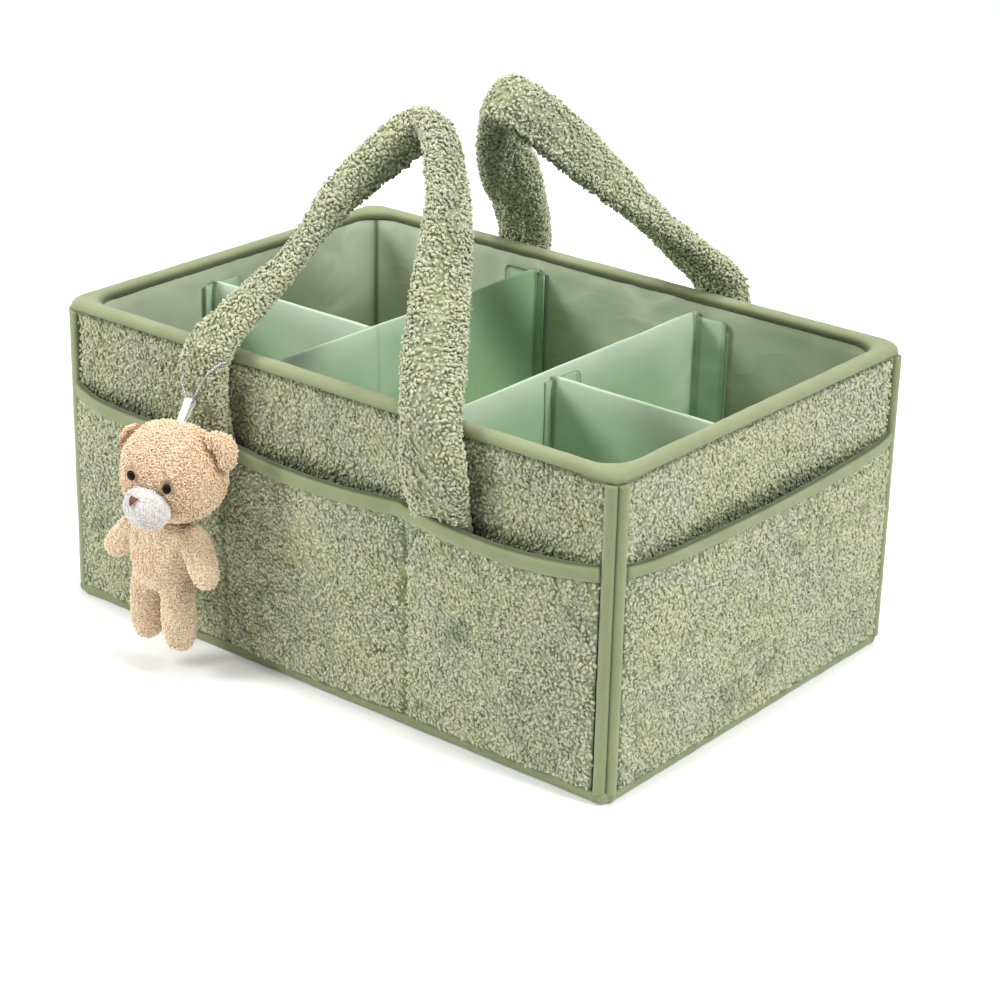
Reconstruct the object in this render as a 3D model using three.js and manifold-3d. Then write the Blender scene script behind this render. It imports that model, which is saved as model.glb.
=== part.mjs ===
// Diaper caddy: a soft box of sherpa cloth over stiff boards, with a satin lining and four upright
// dividers, patch pockets outside, two stuffed carry handles, and a plush bear on a ball chain.
// All lengths are in millimetres and +Z is up. The origin is the middle of the base, on the surface
// that the caddy stands on. The front, where the bear hangs, faces -Y.

import * as THREE from 'three';
import { mergeVertices } from 'three/addons/utils/BufferGeometryUtils.js';
import Module from 'manifold-3d';

const wasm = await Module();
wasm.setup();

// Driving dimensions

const clearance = 0.3; // gap kept between pieces that touch
const overrun = 1; // how far a cutter runs past what it cuts

const basket = { length: 380, width: 254, height: 178, cornerRadius: 8, leastRadius: 2 };
const wall = { panel: 4, board: 2.2, lining: 1.2 };
const base = { thickness: 4 };
const rim = { skin: 1.2, outerHeight: 11, innerHeight: 13, crown: 5, roof: 2.8 };
const hem = { skin: 1.2, height: 8, edge: 0.8 };
const cornerTape = { skin: 1.2, piping: 3.6 };
const pocket = { room: 6, cloth: 2.4, drop: 51.5, endGap: 1, seam: 2 };
const pocketTape = { skin: 1.2, height: 10 };
const divider = { thickness: 4, skin: 0.9, crossDrop: 9, longDrop: 11 };
const tab = { width: 20, thickness: 1.2 };
const loopStrip = { thickness: 0.8, margin: 6 };
const strap = { halfWidth: 17.5, halfThickness: 8.5, sleeve: 1.5, foldRise: 3, neck: 4 };
const chain = { bead: 2, wrapDrop: 9.7, sag: 9.5, slack: 3 };
const ribbon = { width: 5, thickness: 0.8, play: 1.4, below: 8.5, ahead: 6.5 };

const frontHandle = { spread: 76, rise: 146, offset: 4.5, apexShift: -4 };
const rearHandle = { spread: 72, rise: 160, offset: 6, apexShift: 0 };
const frontLean = THREE.MathUtils.degToRad(39.9);
const rearLean = THREE.MathUtils.degToRad(44.4);

const head = { halfWidth: 30.8, halfDepth: 23, halfHeight: 26.3, ahead: 13.6, down: 34.5 };
const ear = { halfWidth: 11, halfDepth: 5, halfHeight: 11, leftOut: 23.5, rightOut: 28, up: 13.5 };
const muzzle = { halfWidth: 13.5, halfDepth: 11, halfHeight: 12.2, aside: -1, ahead: 23, down: 12 };
const nose = { halfWidth: 3.2, halfDepth: 2.2, halfHeight: 3, aside: -2.5, up: 5.5 };
const eye = { radius: 2.4, out: 10.4, leftUp: 3.6, rightUp: 0.1 };
const body = { halfWidth: 18.5, halfDepth: 14, halfHeight: 24, left: 10.5, down: 46 };
const arm = { halfWidth: 8, halfDepth: 8, halfHeight: 18.6, leftOut: 26, rightOut: 28.5, down: 45.5 };
const leg = { halfWidth: 9, halfDepth: 9.8, halfHeight: 23.5, out: 11.6, left: 11, down: 79.5 };
const headYaw = THREE.MathUtils.degToRad(14);
const bodyLean = THREE.MathUtils.degToRad(6);
const leftArmSplay = THREE.MathUtils.degToRad(39);
const rightArmSplay = THREE.MathUtils.degToRad(26);
const armForward = THREE.MathUtils.degToRad(8);
const legSplay = THREE.MathUtils.degToRad(2);

// Shares of the sizes above, and counts of steps

const leftCrossShare = -0.274; // of half the length, from the middle
const rightCrossShare = 0.326;
const leftLongShare = -0.197; // of half the width, from the middle
const rightLongShare = -0.134;
const pocketSeamShares = [-0.375, 0.335]; // of half the pocket's width
const pipingShares = [0.25, 0.75]; // of the quarter turn at a corner
const loopOutShares = [1, 0.89, 0.66, 0.45, 0.24, 0]; // of a handle's spread, from foot to peak
const loopUpShares = [0, 0.12, 0.39, 0.68, 0.89, 1]; // of its rise
const peakWidthShare = 0.85; // the strap's width at the peak
const uprightShare = 0.12; // of the rise, where the strap leaves its fold square
const twistShares = [0.06, 0.95]; // of the rise, between which the strap turns on edge
const endBandShares = [0.44, 0.66]; // of a fixed end's length, from the top
const neckShare = 0.6; // of the strap's thickness, where a fixed end narrows to its tail
const lowestShare = 0.75; // of the way round the chain
const endRingShare = 0.35; // of a step, how near the first ring is to an egg's end
const linkShare = 0.45; // a chain link's radius against a bead's
const sagPowerShare = 1.5;
const bodyTopShare = 0.95; // how far the bear's body narrows to its neck
const limbRootShare = 0.9;

const cornerSteps = 5;
const crownSteps = 6;
const strapSides = 14;
const strapSteps = 30;
const bootSteps = 4;
const beads = 40;
const beadSides = 6;
const plushSides = 18;
const plushSteps = 12;
const trimSides = 12;
const trimSteps = 8;
const strapRoundness = 2.6;
const chainRoundness = 4;
const limbRoundness = 2.8;
const bodyRoundness = 2.6;
const headRoundness = 2.15;

// Places worked out from the sizes. Insets are measured inwards from the outline of the basket.

const panelOut = rim.skin + clearance;
const panelIn = panelOut + wall.panel;
const boardOut = panelIn + clearance;
const boardIn = boardOut + wall.board;
const liningOut = boardIn + clearance;
const liningIn = liningOut + wall.lining;
const rimIn = liningIn + clearance + rim.skin;
const { cornerRadius } = basket;
const footIn = boardIn + 2 * clearance;
const wallBottom = hem.skin + clearance;
const wallTop = basket.height - rim.roof - clearance;
const liningBottom = base.thickness + clearance;
const floorTop = liningBottom + wall.lining;
const contentBottom = floorTop + clearance;
const pocketTop = basket.height - pocket.drop;
const pocketBottom = hem.height + clearance;
const seamTop = pocketTop - pocketTape.height - clearance;

// Outward distances of a pocket's layers from the face of the panel behind it
const pocketIn = clearance + pocket.room;
const pocketOut = pocketIn + pocket.cloth;
const tapeIn = pocketIn - clearance - pocketTape.skin;
const tapeOut = pocketOut + clearance + pocketTape.skin;
const tailThickness = tapeIn - 2 * clearance;

// The fold of a handle, about which its loop swings
const wallGap = 2 * clearance + chain.bead + strap.halfThickness;
const foldReach = basket.width / 2 - panelOut + wallGap;
const foldHeight = basket.height + strap.foldRise;
const endTop = -(strap.halfThickness + clearance);

const sides = [
  { name: 'front', turn: 0, run: basket.length, reach: basket.width / 2 },
  { name: 'right', turn: Math.PI / 2, run: basket.width, reach: basket.length / 2 },
  { name: 'back', turn: Math.PI, run: basket.length, reach: basket.width / 2 },
  { name: 'left', turn: -Math.PI / 2, run: basket.width, reach: basket.length / 2 },
];

// Materials

function cloth(color, roughness = 0.9) {
  return new THREE.MeshStandardMaterial({ color, roughness, metalness: 0 });
}

const sherpa = cloth(0xa6ab88, 1);
const tape = cloth(0x9da27a, 0.8);
const satin = cloth(0x93b096, 0.45);
const dividerSatin = cloth(0x9fc0a4, 0.45);
const stiffBoard = cloth(0xc9c4b4, 0.7);
const loopTape = cloth(0xb9c9b6, 0.95);
const padding = cloth(0xe6e3d8, 1);
const peachPlush = cloth(0xe9cba6, 1);
const whitePlush = cloth(0xefece6, 1);
const noseThread = cloth(0x8a4a2c, 0.7);
const whiteRibbon = cloth(0xf2f0ea, 0.6);
const eyeGloss = new THREE.MeshStandardMaterial({ color: 0x0c0a09, roughness: 0.15, metalness: 0 });
const steel = new THREE.MeshStandardMaterial({ color: 0xc8c9cb, roughness: 0.25, metalness: 1 });

// Geometry helpers

function signedVolume(positions, index) {
  const [a, b, c] = [new THREE.Vector3(), new THREE.Vector3(), new THREE.Vector3()];
  let volume = 0;
  for (let i = 0; i < index.length; i += 3) {
    a.fromArray(positions, 3 * index[i]);
    b.fromArray(positions, 3 * index[i + 1]);
    c.fromArray(positions, 3 * index[i + 2]);
    volume += a.dot(b.cross(c)) / 6;
  }
  return volume;
}

function geometryFrom(positions, index) {
  const geometry = new THREE.BufferGeometry();
  if (signedVolume(positions, index) < 0) {
    index.reverse();
  }
  geometry.setAttribute('position', new THREE.Float32BufferAttribute(positions, 3));
  geometry.setIndex(index);
  return geometry;
}

// Joins rings of equally many points into one skin. A closed loft meets its first ring again, and an
// open one is closed by a fan of triangles at each end.
function loft(rings, closed = false) {
  const count = rings[0].length;
  const positions = rings.flat().flatMap((point) => point.toArray());
  const index = [];
  const spans = closed ? rings.length : rings.length - 1;
  for (let r = 0; r < spans; r += 1) {
    const here = r * count;
    const next = ((r + 1) % rings.length) * count;
    for (let i = 0; i < count; i += 1) {
      const j = (i + 1) % count;
      index.push(here + i, here + j, next + j, here + i, next + j, next + i);
    }
  }
  if (!closed) {
    for (const [ring, start, flip] of [
      [rings[0], 0, true],
      [rings.at(-1), (rings.length - 1) * count, false],
    ]) {
      const middle = ring.reduce((sum, point) => sum.add(point), new THREE.Vector3());
      positions.push(...middle.divideScalar(count).toArray());
      const hub = positions.length / 3 - 1;
      for (let i = 0; i < count; i += 1) {
        const [a, b] = [start + i, start + ((i + 1) % count)];
        index.push(...(flip ? [hub, b, a] : [hub, a, b]));
      }
    }
  }
  return geometryFrom(positions, index);
}

function box(low, high) {
  const size = high.map((value, axis) => value - low[axis]);
  const middle = high.map((value, axis) => (value + low[axis]) / 2);
  return new THREE.BoxGeometry(...size).translate(...middle);
}

// A plan outline raised from one height to another
function prism(points, bottom, top) {
  const options = { depth: top - bottom, bevelEnabled: false };
  return new THREE.ExtrudeGeometry(new THREE.Shape(points), options).translate(0, 0, bottom);
}

// A section of places in Y and Z, drawn out along X
function alongX(section, from, to) {
  const points = section.map(([y, z]) => new THREE.Vector2(y, z));
  return prism(points, from, to).rotateX(Math.PI / 2).rotateZ(Math.PI / 2);
}

function toManifold(geometry) {
  const plain = new THREE.BufferGeometry();
  plain.setAttribute('position', geometry.getAttribute('position'));
  plain.setIndex(geometry.getIndex());
  const merged = mergeVertices(plain);
  return new wasm.Manifold(
    new wasm.Mesh({
      numProp: 3,
      vertProperties: new Float32Array(merged.getAttribute('position').array),
      triVerts: new Uint32Array(merged.getIndex().array),
    }),
  );
}

function fromManifold(solid) {
  const mesh = solid.getMesh();
  return geometryFrom(Array.from(mesh.vertProperties), Array.from(mesh.triVerts));
}

function join(...geometries) {
  return fromManifold(geometries.map(toManifold).reduce((sum, part) => sum.add(part)));
}

function cut(geometry, ...cutters) {
  const start = toManifold(geometry);
  return fromManifold(cutters.map(toManifold).reduce((rest, part) => rest.subtract(part), start));
}

function piece(name, geometry, material) {
  const mesh = new THREE.Mesh(geometry, material);
  mesh.name = name;
  return mesh;
}

function smooth(share) {
  const t = THREE.MathUtils.clamp(share, 0, 1);
  return t * t * (3 - 2 * t);
}

// Turns a cosine or sine into a place on a rounded oval: an ellipse for a roundness of 2, and
// squarer above that
function rounded(value, roundness) {
  return Math.sign(value) * Math.abs(value) ** (2 / roundness);
}

function unitOval(count, roundness) {
  return Array.from({ length: count }, (_, i) => {
    const angle = (2 * Math.PI * i) / count;
    return [rounded(Math.cos(angle), roundness), rounded(Math.sin(angle), roundness)];
  });
}

// Corners run anticlockwise from the back right one
const cornerSigns = [[1, 1], [-1, 1], [-1, -1], [1, -1]];

// A point of the basket's plan, at an inset from its outline. A share of 0 to 1 takes the point
// through its corner's quarter turn.
function cornerPoint(corner, share, inset, standOff = 0) {
  const radius = Math.max(cornerRadius - inset, basket.leastRadius);
  const angle = (Math.PI / 2) * (corner + share);
  const [xSign, ySign] = cornerSigns[corner];
  const x = xSign * (basket.length / 2 - inset - radius);
  const y = ySign * (basket.width / 2 - inset - radius);
  const reach = radius + standOff;
  return new THREE.Vector2(x + reach * Math.cos(angle), y + reach * Math.sin(angle));
}

const cornerShares = Array.from({ length: cornerSteps + 1 }, (_, step) => step / cornerSteps);
const cornerStations = [0, 1, 2, 3].flatMap((corner) =>
  cornerShares.map((share) => ({ corner, share })),
);

function planPoints(inset) {
  return cornerStations.map(({ corner, share }) => cornerPoint(corner, share, inset));
}

// A section of insets and heights taken once round the basket
function aroundBasket(section) {
  const rings = cornerStations.map(({ corner, share }) =>
    section.map(([inset, height]) => {
      const { x, y } = cornerPoint(corner, share, inset);
      return new THREE.Vector3(x, y, height);
    }),
  );
  return loft(rings, true);
}

function arcPoints(middle, radius, from, to) {
  return Array.from({ length: cornerSteps + 1 }, (_, step) => {
    const angle = from + ((to - from) * step) / cornerSteps;
    return new THREE.Vector2(
      middle[0] + radius * Math.cos(angle),
      middle[1] + radius * Math.sin(angle),
    );
  });
}

// Base, walls, lining and bindings

function basePanel() {
  const plan = planPoints(footIn + clearance);
  return piece('base_panel', prism(plan, 0, base.thickness), sherpa);
}

function hemBinding() {
  const section = [
    [0, hem.edge],
    [hem.edge, 0],
    [footIn, 0],
    [footIn, hem.skin],
    [hem.skin, hem.skin],
    [hem.skin, hem.height],
    [0, hem.height],
  ];
  return piece('bottom_binding', aroundBasket(section), tape);
}

// The rim tape is a channel over the top of the wall, with a rounded crown
function rimBinding() {
  const shoulder = basket.height - rim.crown;
  const roof = basket.height - rim.roof;
  const crown = Array.from({ length: crownSteps + 1 }, (_, i) => {
    const angle = (Math.PI * i) / crownSteps;
    return [(rimIn / 2) * (1 - Math.cos(angle)), shoulder + rim.crown * Math.sin(angle)];
  });
  const section = [
    [0, basket.height - rim.outerHeight],
    ...crown,
    [rimIn, basket.height - rim.innerHeight],
    [rimIn - rim.skin, basket.height - rim.innerHeight],
    [rimIn - rim.skin, roof],
    [rim.skin, roof],
    [rim.skin, basket.height - rim.outerHeight],
  ];
  return piece('rim_binding', aroundBasket(section), tape);
}

function liningTub() {
  const outside = prism(planPoints(liningOut), liningBottom, wallTop);
  const inside = prism(planPoints(liningIn), floorTop, wallTop + overrun);
  return piece('lining', cut(outside, inside), satin);
}

function wallPanel({ name, run, reach }) {
  const [x, y] = [run / 2 - cornerRadius, cornerRadius - reach];
  const [outer, inner] = [cornerRadius - panelOut, cornerRadius - panelIn];
  const mitre = Math.PI / 4 - clearance / (2 * inner);
  const straight = -Math.PI / 2;
  const plan = [
    ...arcPoints([-x, y], outer, straight - mitre, straight),
    ...arcPoints([x, y], outer, straight, straight + mitre),
    ...arcPoints([x, y], inner, straight + mitre, straight),
    ...arcPoints([-x, y], inner, straight, straight - mitre),
  ];
  return piece(`${name}_panel`, prism(plan, wallBottom, wallTop), sherpa);
}

function wallBoard({ name, run, reach }) {
  const half = run / 2 - cornerRadius - clearance;
  const solid = box([-half, boardOut - reach, wallBottom], [half, boardIn - reach, wallTop]);
  return piece(`${name}_board`, solid, stiffBoard);
}

// A strip that wraps a corner, with a round of piping standing out along its middle
function cornerBinding(name, corner) {
  const [before, after] = pipingShares;
  const bump = cornerShares.map((t) => {
    const share = THREE.MathUtils.lerp(before, after, t);
    return cornerPoint(corner, share, 0, cornerTape.piping * Math.sin(Math.PI * t));
  });
  const inside = cornerShares.map((share) => cornerPoint(corner, share, cornerTape.skin));
  const ends = [cornerPoint(corner, 0, 0), cornerPoint(corner, 1, 0)];
  const plan = [ends[0], ...bump, ends[1], ...inside.reverse()];
  const top = basket.height - rim.outerHeight - clearance;
  return piece(`corner_binding_${name}`, prism(plan, hem.height + clearance, top), tape);
}

function cornerBindings() {
  return ['back_right', 'back_left', 'front_left', 'front_right'].map(cornerBinding);
}

// Patch pockets. A pocket is sewn down at its ends, along its foot and at the seams between its
// spaces, and its bound top edge stands free of the wall.

function patchPocket({ name, run, reach }) {
  const half = run / 2 - cornerRadius - pocket.endGap;
  const face = panelOut - reach;
  const long = run === basket.length;
  const seams = long ? pocketSeamShares.map((share) => share * half) : [];
  const edges = [-half, ...seams, half];
  const spaces = edges.slice(1).map((right, i) => {
    const left = edges[i] + (i === 0 ? pocket.seam : pocket.seam / 2);
    const end = right - (right === half ? pocket.seam : pocket.seam / 2);
    const low = [left, face - pocketIn, pocketBottom + pocket.seam];
    return box(low, [end, face, pocketTop]);
  });
  const clothTop = pocketTop - pocketTape.skin - clearance;
  const solid = box([-half, face - pocketOut, pocketBottom], [half, face - clearance, clothTop]);
  const mouth = box(
    [-half - overrun, face - pocketIn, seamTop],
    [half + overrun, face, pocketTop],
  );
  return piece(`${name}_pocket`, cut(solid, mouth, ...spaces), sherpa);
}

// The tape is a channel that hangs over the pocket's top edge
function pocketBinding({ name, run, reach }) {
  const half = run / 2 - cornerRadius - pocket.endGap;
  const face = panelOut - reach;
  const bottom = pocketTop - pocketTape.height;
  const roof = pocketTop - pocketTape.skin;
  const section = [
    [face - tapeOut, bottom],
    [face - tapeOut + pocketTape.skin, bottom],
    [face - tapeOut + pocketTape.skin, roof],
    [face - tapeIn - pocketTape.skin, roof],
    [face - tapeIn - pocketTape.skin, bottom],
    [face - tapeIn, bottom],
    [face - tapeIn, pocketTop],
    [face - tapeOut, pocketTop],
  ];
  return piece(`${name}_pocket_binding`, alongX(section, -half, half), tape);
}

// Dividers. Each is built as it runs along X, with its tabs turned towards +Y or -Y, and is a cloth
// cover, open at the foot, over a stiff board. Loop strips on the walls hold the tabs.

const crossReach = basket.width / 2 - rimIn - clearance;
const sideReach = basket.length / 2 - rimIn - clearance;

const leftCross = (leftCrossShare * basket.length) / 2;
const rightCross = (rightCrossShare * basket.length) / 2;

const dividers = [
  {
    name: 'left_cross_divider',
    run: [-crossReach, crossReach],
    top: basket.height - divider.crossDrop,
    tabSide: 1,
    place: [leftCross, 0],
    turn: Math.PI / 2,
    strips: { front_left: -1, back_left: 1 },
    wallReach: basket.width / 2 - liningIn,
  },
  {
    name: 'right_cross_divider',
    run: [-crossReach, crossReach],
    top: basket.height - divider.crossDrop,
    tabSide: -1,
    place: [rightCross, 0],
    turn: Math.PI / 2,
    strips: { front_right: -1, back_right: 1 },
    wallReach: basket.width / 2 - liningIn,
  },
  {
    name: 'left_long_divider',
    run: [-sideReach, leftCross - divider.thickness / 2 - clearance],
    top: basket.height - divider.longDrop,
    tabSide: 1,
    place: [0, (leftLongShare * basket.width) / 2],
    turn: 0,
    strips: { left_wall: -1 },
    wallReach: basket.length / 2 - liningIn,
  },
  {
    name: 'right_long_divider',
    run: [rightCross + divider.thickness / 2 + clearance, sideReach],
    top: basket.height - divider.longDrop,
    tabSide: 1,
    place: [0, (rightLongShare * basket.width) / 2],
    turn: 0,
    strips: { right_wall: 1 },
    wallReach: basket.length / 2 - liningIn,
  },
];

function tabSpan(tabSide) {
  const edge = divider.thickness / 2 + tab.width;
  return tabSide > 0 ? [0, edge] : [-edge, 0];
}

function dividerCover({ name, run, top, tabSide }) {
  const [start, end] = run;
  const half = divider.thickness / 2;
  const [near, far] = tabSpan(tabSide);
  const sheath = box([start, -half, contentBottom], [end, half, top]);
  const tabs = [
    box([start, near, contentBottom], [start + tab.thickness, far, top]),
    box([end - tab.thickness, near, contentBottom], [end, far, top]),
  ];
  const sleeve = half - divider.skin;
  const room = box(
    [start + tab.thickness, -sleeve, contentBottom - overrun],
    [end - tab.thickness, sleeve, top - divider.skin],
  );
  return piece(`${name}_cover`, cut(join(sheath, ...tabs), room), dividerSatin);
}

function dividerBoard({ name, run, top }) {
  const gap = tab.thickness + clearance;
  const half = divider.thickness / 2 - divider.skin - clearance;
  const ceiling = top - divider.skin - clearance;
  const solid = box([run[0] + gap, -half, contentBottom], [run[1] - gap, half, ceiling]);
  return piece(`${name}_board`, solid, stiffBoard);
}

function dividerStrips({ strips, tabSide, wallReach }) {
  const half = divider.thickness / 2;
  const [near, far] = tabSide > 0 ? [half, half + tab.width] : [-half - tab.width, -half];
  const top = basket.height - rim.innerHeight - loopStrip.margin;
  return Object.entries(strips).map(([place, side]) => {
    const ends = [wallReach - clearance, wallReach - clearance - loopStrip.thickness];
    const [low, high] = ends.map((x) => side * x).sort((a, b) => a - b);
    const solid = box([low, near, floorTop + loopStrip.margin], [high, far, top]);
    return piece(`${place}_loop_strip`, solid, loopTape);
  });
}

function dividerSet(facts) {
  const group = new THREE.Group();
  group.position.set(...facts.place, 0);
  group.rotation.z = facts.turn;
  return group.add(dividerCover(facts), dividerBoard(facts), ...dividerStrips(facts));
}

// Handles. A handle is built round the fold at its feet: X runs along the wall, -Y points out of the
// basket and Z up the loop. The loop leans in over the basket, and its strap turns on edge on the way
// to the peak. The fixed ends below the fold are sewn to the wall, behind the pocket's top edge.

const ovalPoints = unitOval(strapSides, strapRoundness);

function loopCurve({ spread, rise, apexShift }) {
  const climb = loopUpShares.map((up, i) => [
    loopOutShares[i] * spread,
    clearance + up * (rise - clearance),
    up,
  ]);
  const left = climb.map(([x, z, up]) => new THREE.Vector3(apexShift * up - x, 0, z));
  const right = climb.map(([x, z, up]) => new THREE.Vector3(apexShift * up + x, 0, z));
  return new THREE.CatmullRomCurve3([...left, ...right.reverse().slice(1)]);
}

// One ring of the strap, square to the loop's line, with the pile's or padding's depth taken off
function strapRing(middle, along, share, depth) {
  const outward = new THREE.Vector3(-along.z, 0, along.x);
  const flat = new THREE.Vector3(Math.sign(outward.x), 0, 0);
  const across = flat.lerp(outward, smooth(share / uprightShare)).normalize();
  const [from, to] = twistShares;
  const twist = (Math.PI / 2) * smooth((share - from) / (to - from));
  const face = new THREE.Vector3(0, -1, 0);
  const wide = across.clone().multiplyScalar(Math.cos(twist)).addScaledVector(face, -Math.sin(twist));
  const thick = across.clone().multiplyScalar(Math.sin(twist)).addScaledVector(face, Math.cos(twist));
  const narrowing = THREE.MathUtils.lerp(1, peakWidthShare, smooth(share));
  const halfWidth = strap.halfWidth * narrowing - depth;
  const halfThickness = strap.halfThickness - depth;
  return ovalPoints.map(([w, t]) =>
    middle
      .clone()
      .addScaledVector(wide, halfWidth * w)
      .addScaledVector(thick, halfThickness * t),
  );
}

function strapRings(handle, depth) {
  const curve = loopCurve(handle);
  return Array.from({ length: strapSteps + 1 }, (_, i) => {
    const at = i / strapSteps;
    const middle = curve.getPointAt(at);
    return strapRing(middle, curve.getTangentAt(at), middle.z / handle.rise, depth);
  });
}

function handleSleeve(name, handle) {
  const outside = strapRings(handle, 0);
  const inside = strapRings(handle, strap.sleeve).reverse();
  return piece(`${name}_sleeve`, loft([...outside, ...inside], true), sherpa);
}

// The padding ends in a rounded boot that fills the fold below the sleeve's mouth
function bootRings(x) {
  const inner = strap.sleeve + clearance;
  const flatRing = (drop, halfWidth, halfThickness) =>
    ovalPoints.map(([w, t]) => new THREE.Vector3(x - w * halfWidth, -t * halfThickness, -drop));
  const rings = [flatRing(0, strap.halfWidth - inner, strap.halfThickness - inner)];
  for (let i = 0; i <= bootSteps; i += 1) {
    const angle = ((Math.PI / 2) * i) / (bootSteps + 1);
    const drop = strap.halfThickness * Math.sin(angle);
    rings.push(flatRing(drop, strap.halfWidth, strap.halfThickness * Math.cos(angle)));
  }
  return rings;
}

function handleCore(name, handle) {
  const along = strapRings(handle, strap.sleeve + clearance);
  const left = bootRings(-handle.spread).reverse();
  const right = bootRings(handle.spread).map((ring) => mirroredOrder(ring));
  return piece(`${name}_core`, loft([...left, ...along, ...right].reverse()), padding);
}

// The right foot's rings run the other way round the strap than the left foot's
function mirroredOrder(ring) {
  const half = ring.length / 2;
  return ring.map((_, i) => ring[(half - i + ring.length) % ring.length]);
}

function handleEnd(name, x) {
  const tailTop = pocketTop + clearance - foldHeight;
  const length = endTop - tailTop;
  const oval = (z, halfWidth, halfThickness, gapBehind) =>
    ovalPoints.map(([w, t]) => {
      const y = wallGap - gapBehind - halfThickness;
      return new THREE.Vector3(x + w * halfWidth, y + t * halfThickness, z);
    });
  const { halfWidth, halfThickness } = strap;
  const behindChain = 2 * clearance + chain.bead;
  const neck = tailTop + strap.neck;
  const rings = [
    oval(endTop, halfWidth, halfThickness, behindChain),
    oval(endTop - endBandShares[0] * length, halfWidth, halfThickness, behindChain),
    oval(endTop - endBandShares[1] * length, halfWidth, halfThickness, clearance),
    oval(neck, halfWidth, neckShare * halfThickness, clearance),
    oval(tailTop, halfWidth, tailThickness / 2, clearance),
    oval(seamTop + clearance - foldHeight, halfWidth, tailThickness / 2, clearance),
  ];
  return piece(name, loft(rings), sherpa);
}

function handleFrame(handle, turn) {
  const group = new THREE.Group();
  const place = new THREE.Vector3(handle.offset, -foldReach, foldHeight);
  group.position.copy(place.applyAxisAngle(new THREE.Vector3(0, 0, 1), turn));
  group.rotation.z = turn;
  return group;
}

function handleSet(name, handle, lean, turn) {
  const loop = new THREE.Group();
  loop.rotation.x = -lean;
  loop.add(handleSleeve(name, handle), handleCore(name, handle));
  const ends = [
    handleEnd(`${name}_left_end`, -handle.spread),
    handleEnd(`${name}_right_end`, handle.spread),
  ];
  return handleFrame(handle, turn).add(loop, ...ends);
}

// The ball chain goes round the front handle's left end, and sags in front to where the ribbon hangs

const beadRadius = chain.bead / 2;
const wrapHeight = endTop - chain.wrapDrop;
const wrapHalf = {
  x: strap.halfWidth + clearance + beadRadius,
  y: strap.halfThickness + clearance + beadRadius,
};

function chainPoint(share) {
  const angle = 2 * Math.PI * share;
  const across = rounded(Math.cos(angle), chainRoundness);
  const back = rounded(Math.sin(angle), chainRoundness);
  const ahead = Math.max(0, -back);
  const hang = ahead * ahead * (1 - Math.abs(across) ** sagPowerShare);
  return new THREE.Vector3(
    wrapHalf.x * across,
    wrapHalf.y * back - chain.slack * ahead * (1 - Math.abs(across)),
    wrapHeight - chain.sag * hang,
  );
}

function ballChain(x) {
  const stations = 2 * beads;
  const rings = Array.from({ length: stations }, (_, i) => {
    const middle = chainPoint(i / stations);
    const along = chainPoint((i + 1) / stations)
      .sub(chainPoint((i - 1) / stations))
      .normalize();
    const side = new THREE.Vector3(0, 0, 1).cross(along).normalize();
    const up = along.clone().cross(side);
    const radius = i % 2 === 0 ? beadRadius : beadRadius * linkShare;
    return Array.from({ length: beadSides }, (_, k) => {
      const angle = (2 * Math.PI * k) / beadSides;
      return middle
        .clone()
        .addScaledVector(side, radius * Math.cos(angle))
        .addScaledVector(up, radius * Math.sin(angle))
        .add(new THREE.Vector3(x, 0, 0));
    });
  });
  return piece('ball_chain', loft(rings, true), steel);
}

// The bear. Its pieces are placed from the middle of its head. A smaller piece is cut where it meets
// a larger one, so that the two lie a clearance apart.

function egg({ halfWidth, halfDepth, halfHeight }, options = {}) {
  const { topShare = 1, roundness = 2, growth = 0, trim = false } = options;
  const [count, steps] = trim ? [trimSides, trimSteps] : [plushSides, plushSteps];
  const rings = [];
  for (let i = 0; i <= steps; i += 1) {
    const angle = Math.PI * ((i + endRingShare) / (steps + 2 * endRingShare));
    const up = -rounded(Math.cos(angle), roundness);
    const wide = rounded(Math.sin(angle), roundness);
    const taper = THREE.MathUtils.lerp(1, topShare, (up + 1) / 2);
    const ring = Array.from({ length: count }, (_, k) => {
      const turn = (2 * Math.PI * k) / count;
      const x = (halfWidth * taper + growth) * wide * Math.cos(turn);
      const y = (halfDepth * taper + growth) * wide * Math.sin(turn);
      return new THREE.Vector3(x, y, (halfHeight + growth) * up);
    });
    rings.push(ring);
  }
  return loft(rings);
}

function placed(geometry, place, turns = [0, 0, 0]) {
  const turn = new THREE.Quaternion().setFromEuler(new THREE.Euler(...turns));
  const matrix = new THREE.Matrix4().compose(place, turn, new THREE.Vector3(1, 1, 1));
  return geometry.applyMatrix4(matrix);
}

const faceTurn = [0, 0, headYaw];

// A place given by how far right, ahead and up it lies from the middle of the head
function onFace(right, ahead, up) {
  return new THREE.Vector3(right, -ahead, up).applyEuler(new THREE.Euler(...faceTurn));
}

// How far ahead of the head's middle its skin lies, at a place right of and above the middle
function faceDepth(right, up) {
  const spent = (right / head.halfWidth) ** 2 + (up / head.halfHeight) ** 2;
  return head.halfDepth * Math.sqrt(Math.max(0, 1 - spent));
}

function bearHead(growth = 0) {
  const skull = egg(head, { roundness: headRoundness, growth });
  return placed(skull, new THREE.Vector3(), faceTurn);
}

function bearMuzzle(growth = 0) {
  const place = onFace(muzzle.aside, muzzle.ahead, -muzzle.down);
  return placed(egg(muzzle, { growth }), place, faceTurn);
}

function bearBody(growth = 0) {
  const trunk = egg(body, { topShare: bodyTopShare, roundness: bodyRoundness, growth });
  return placed(trunk, new THREE.Vector3(-body.left, 0, -body.down), [0, bodyLean, 0]);
}

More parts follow.
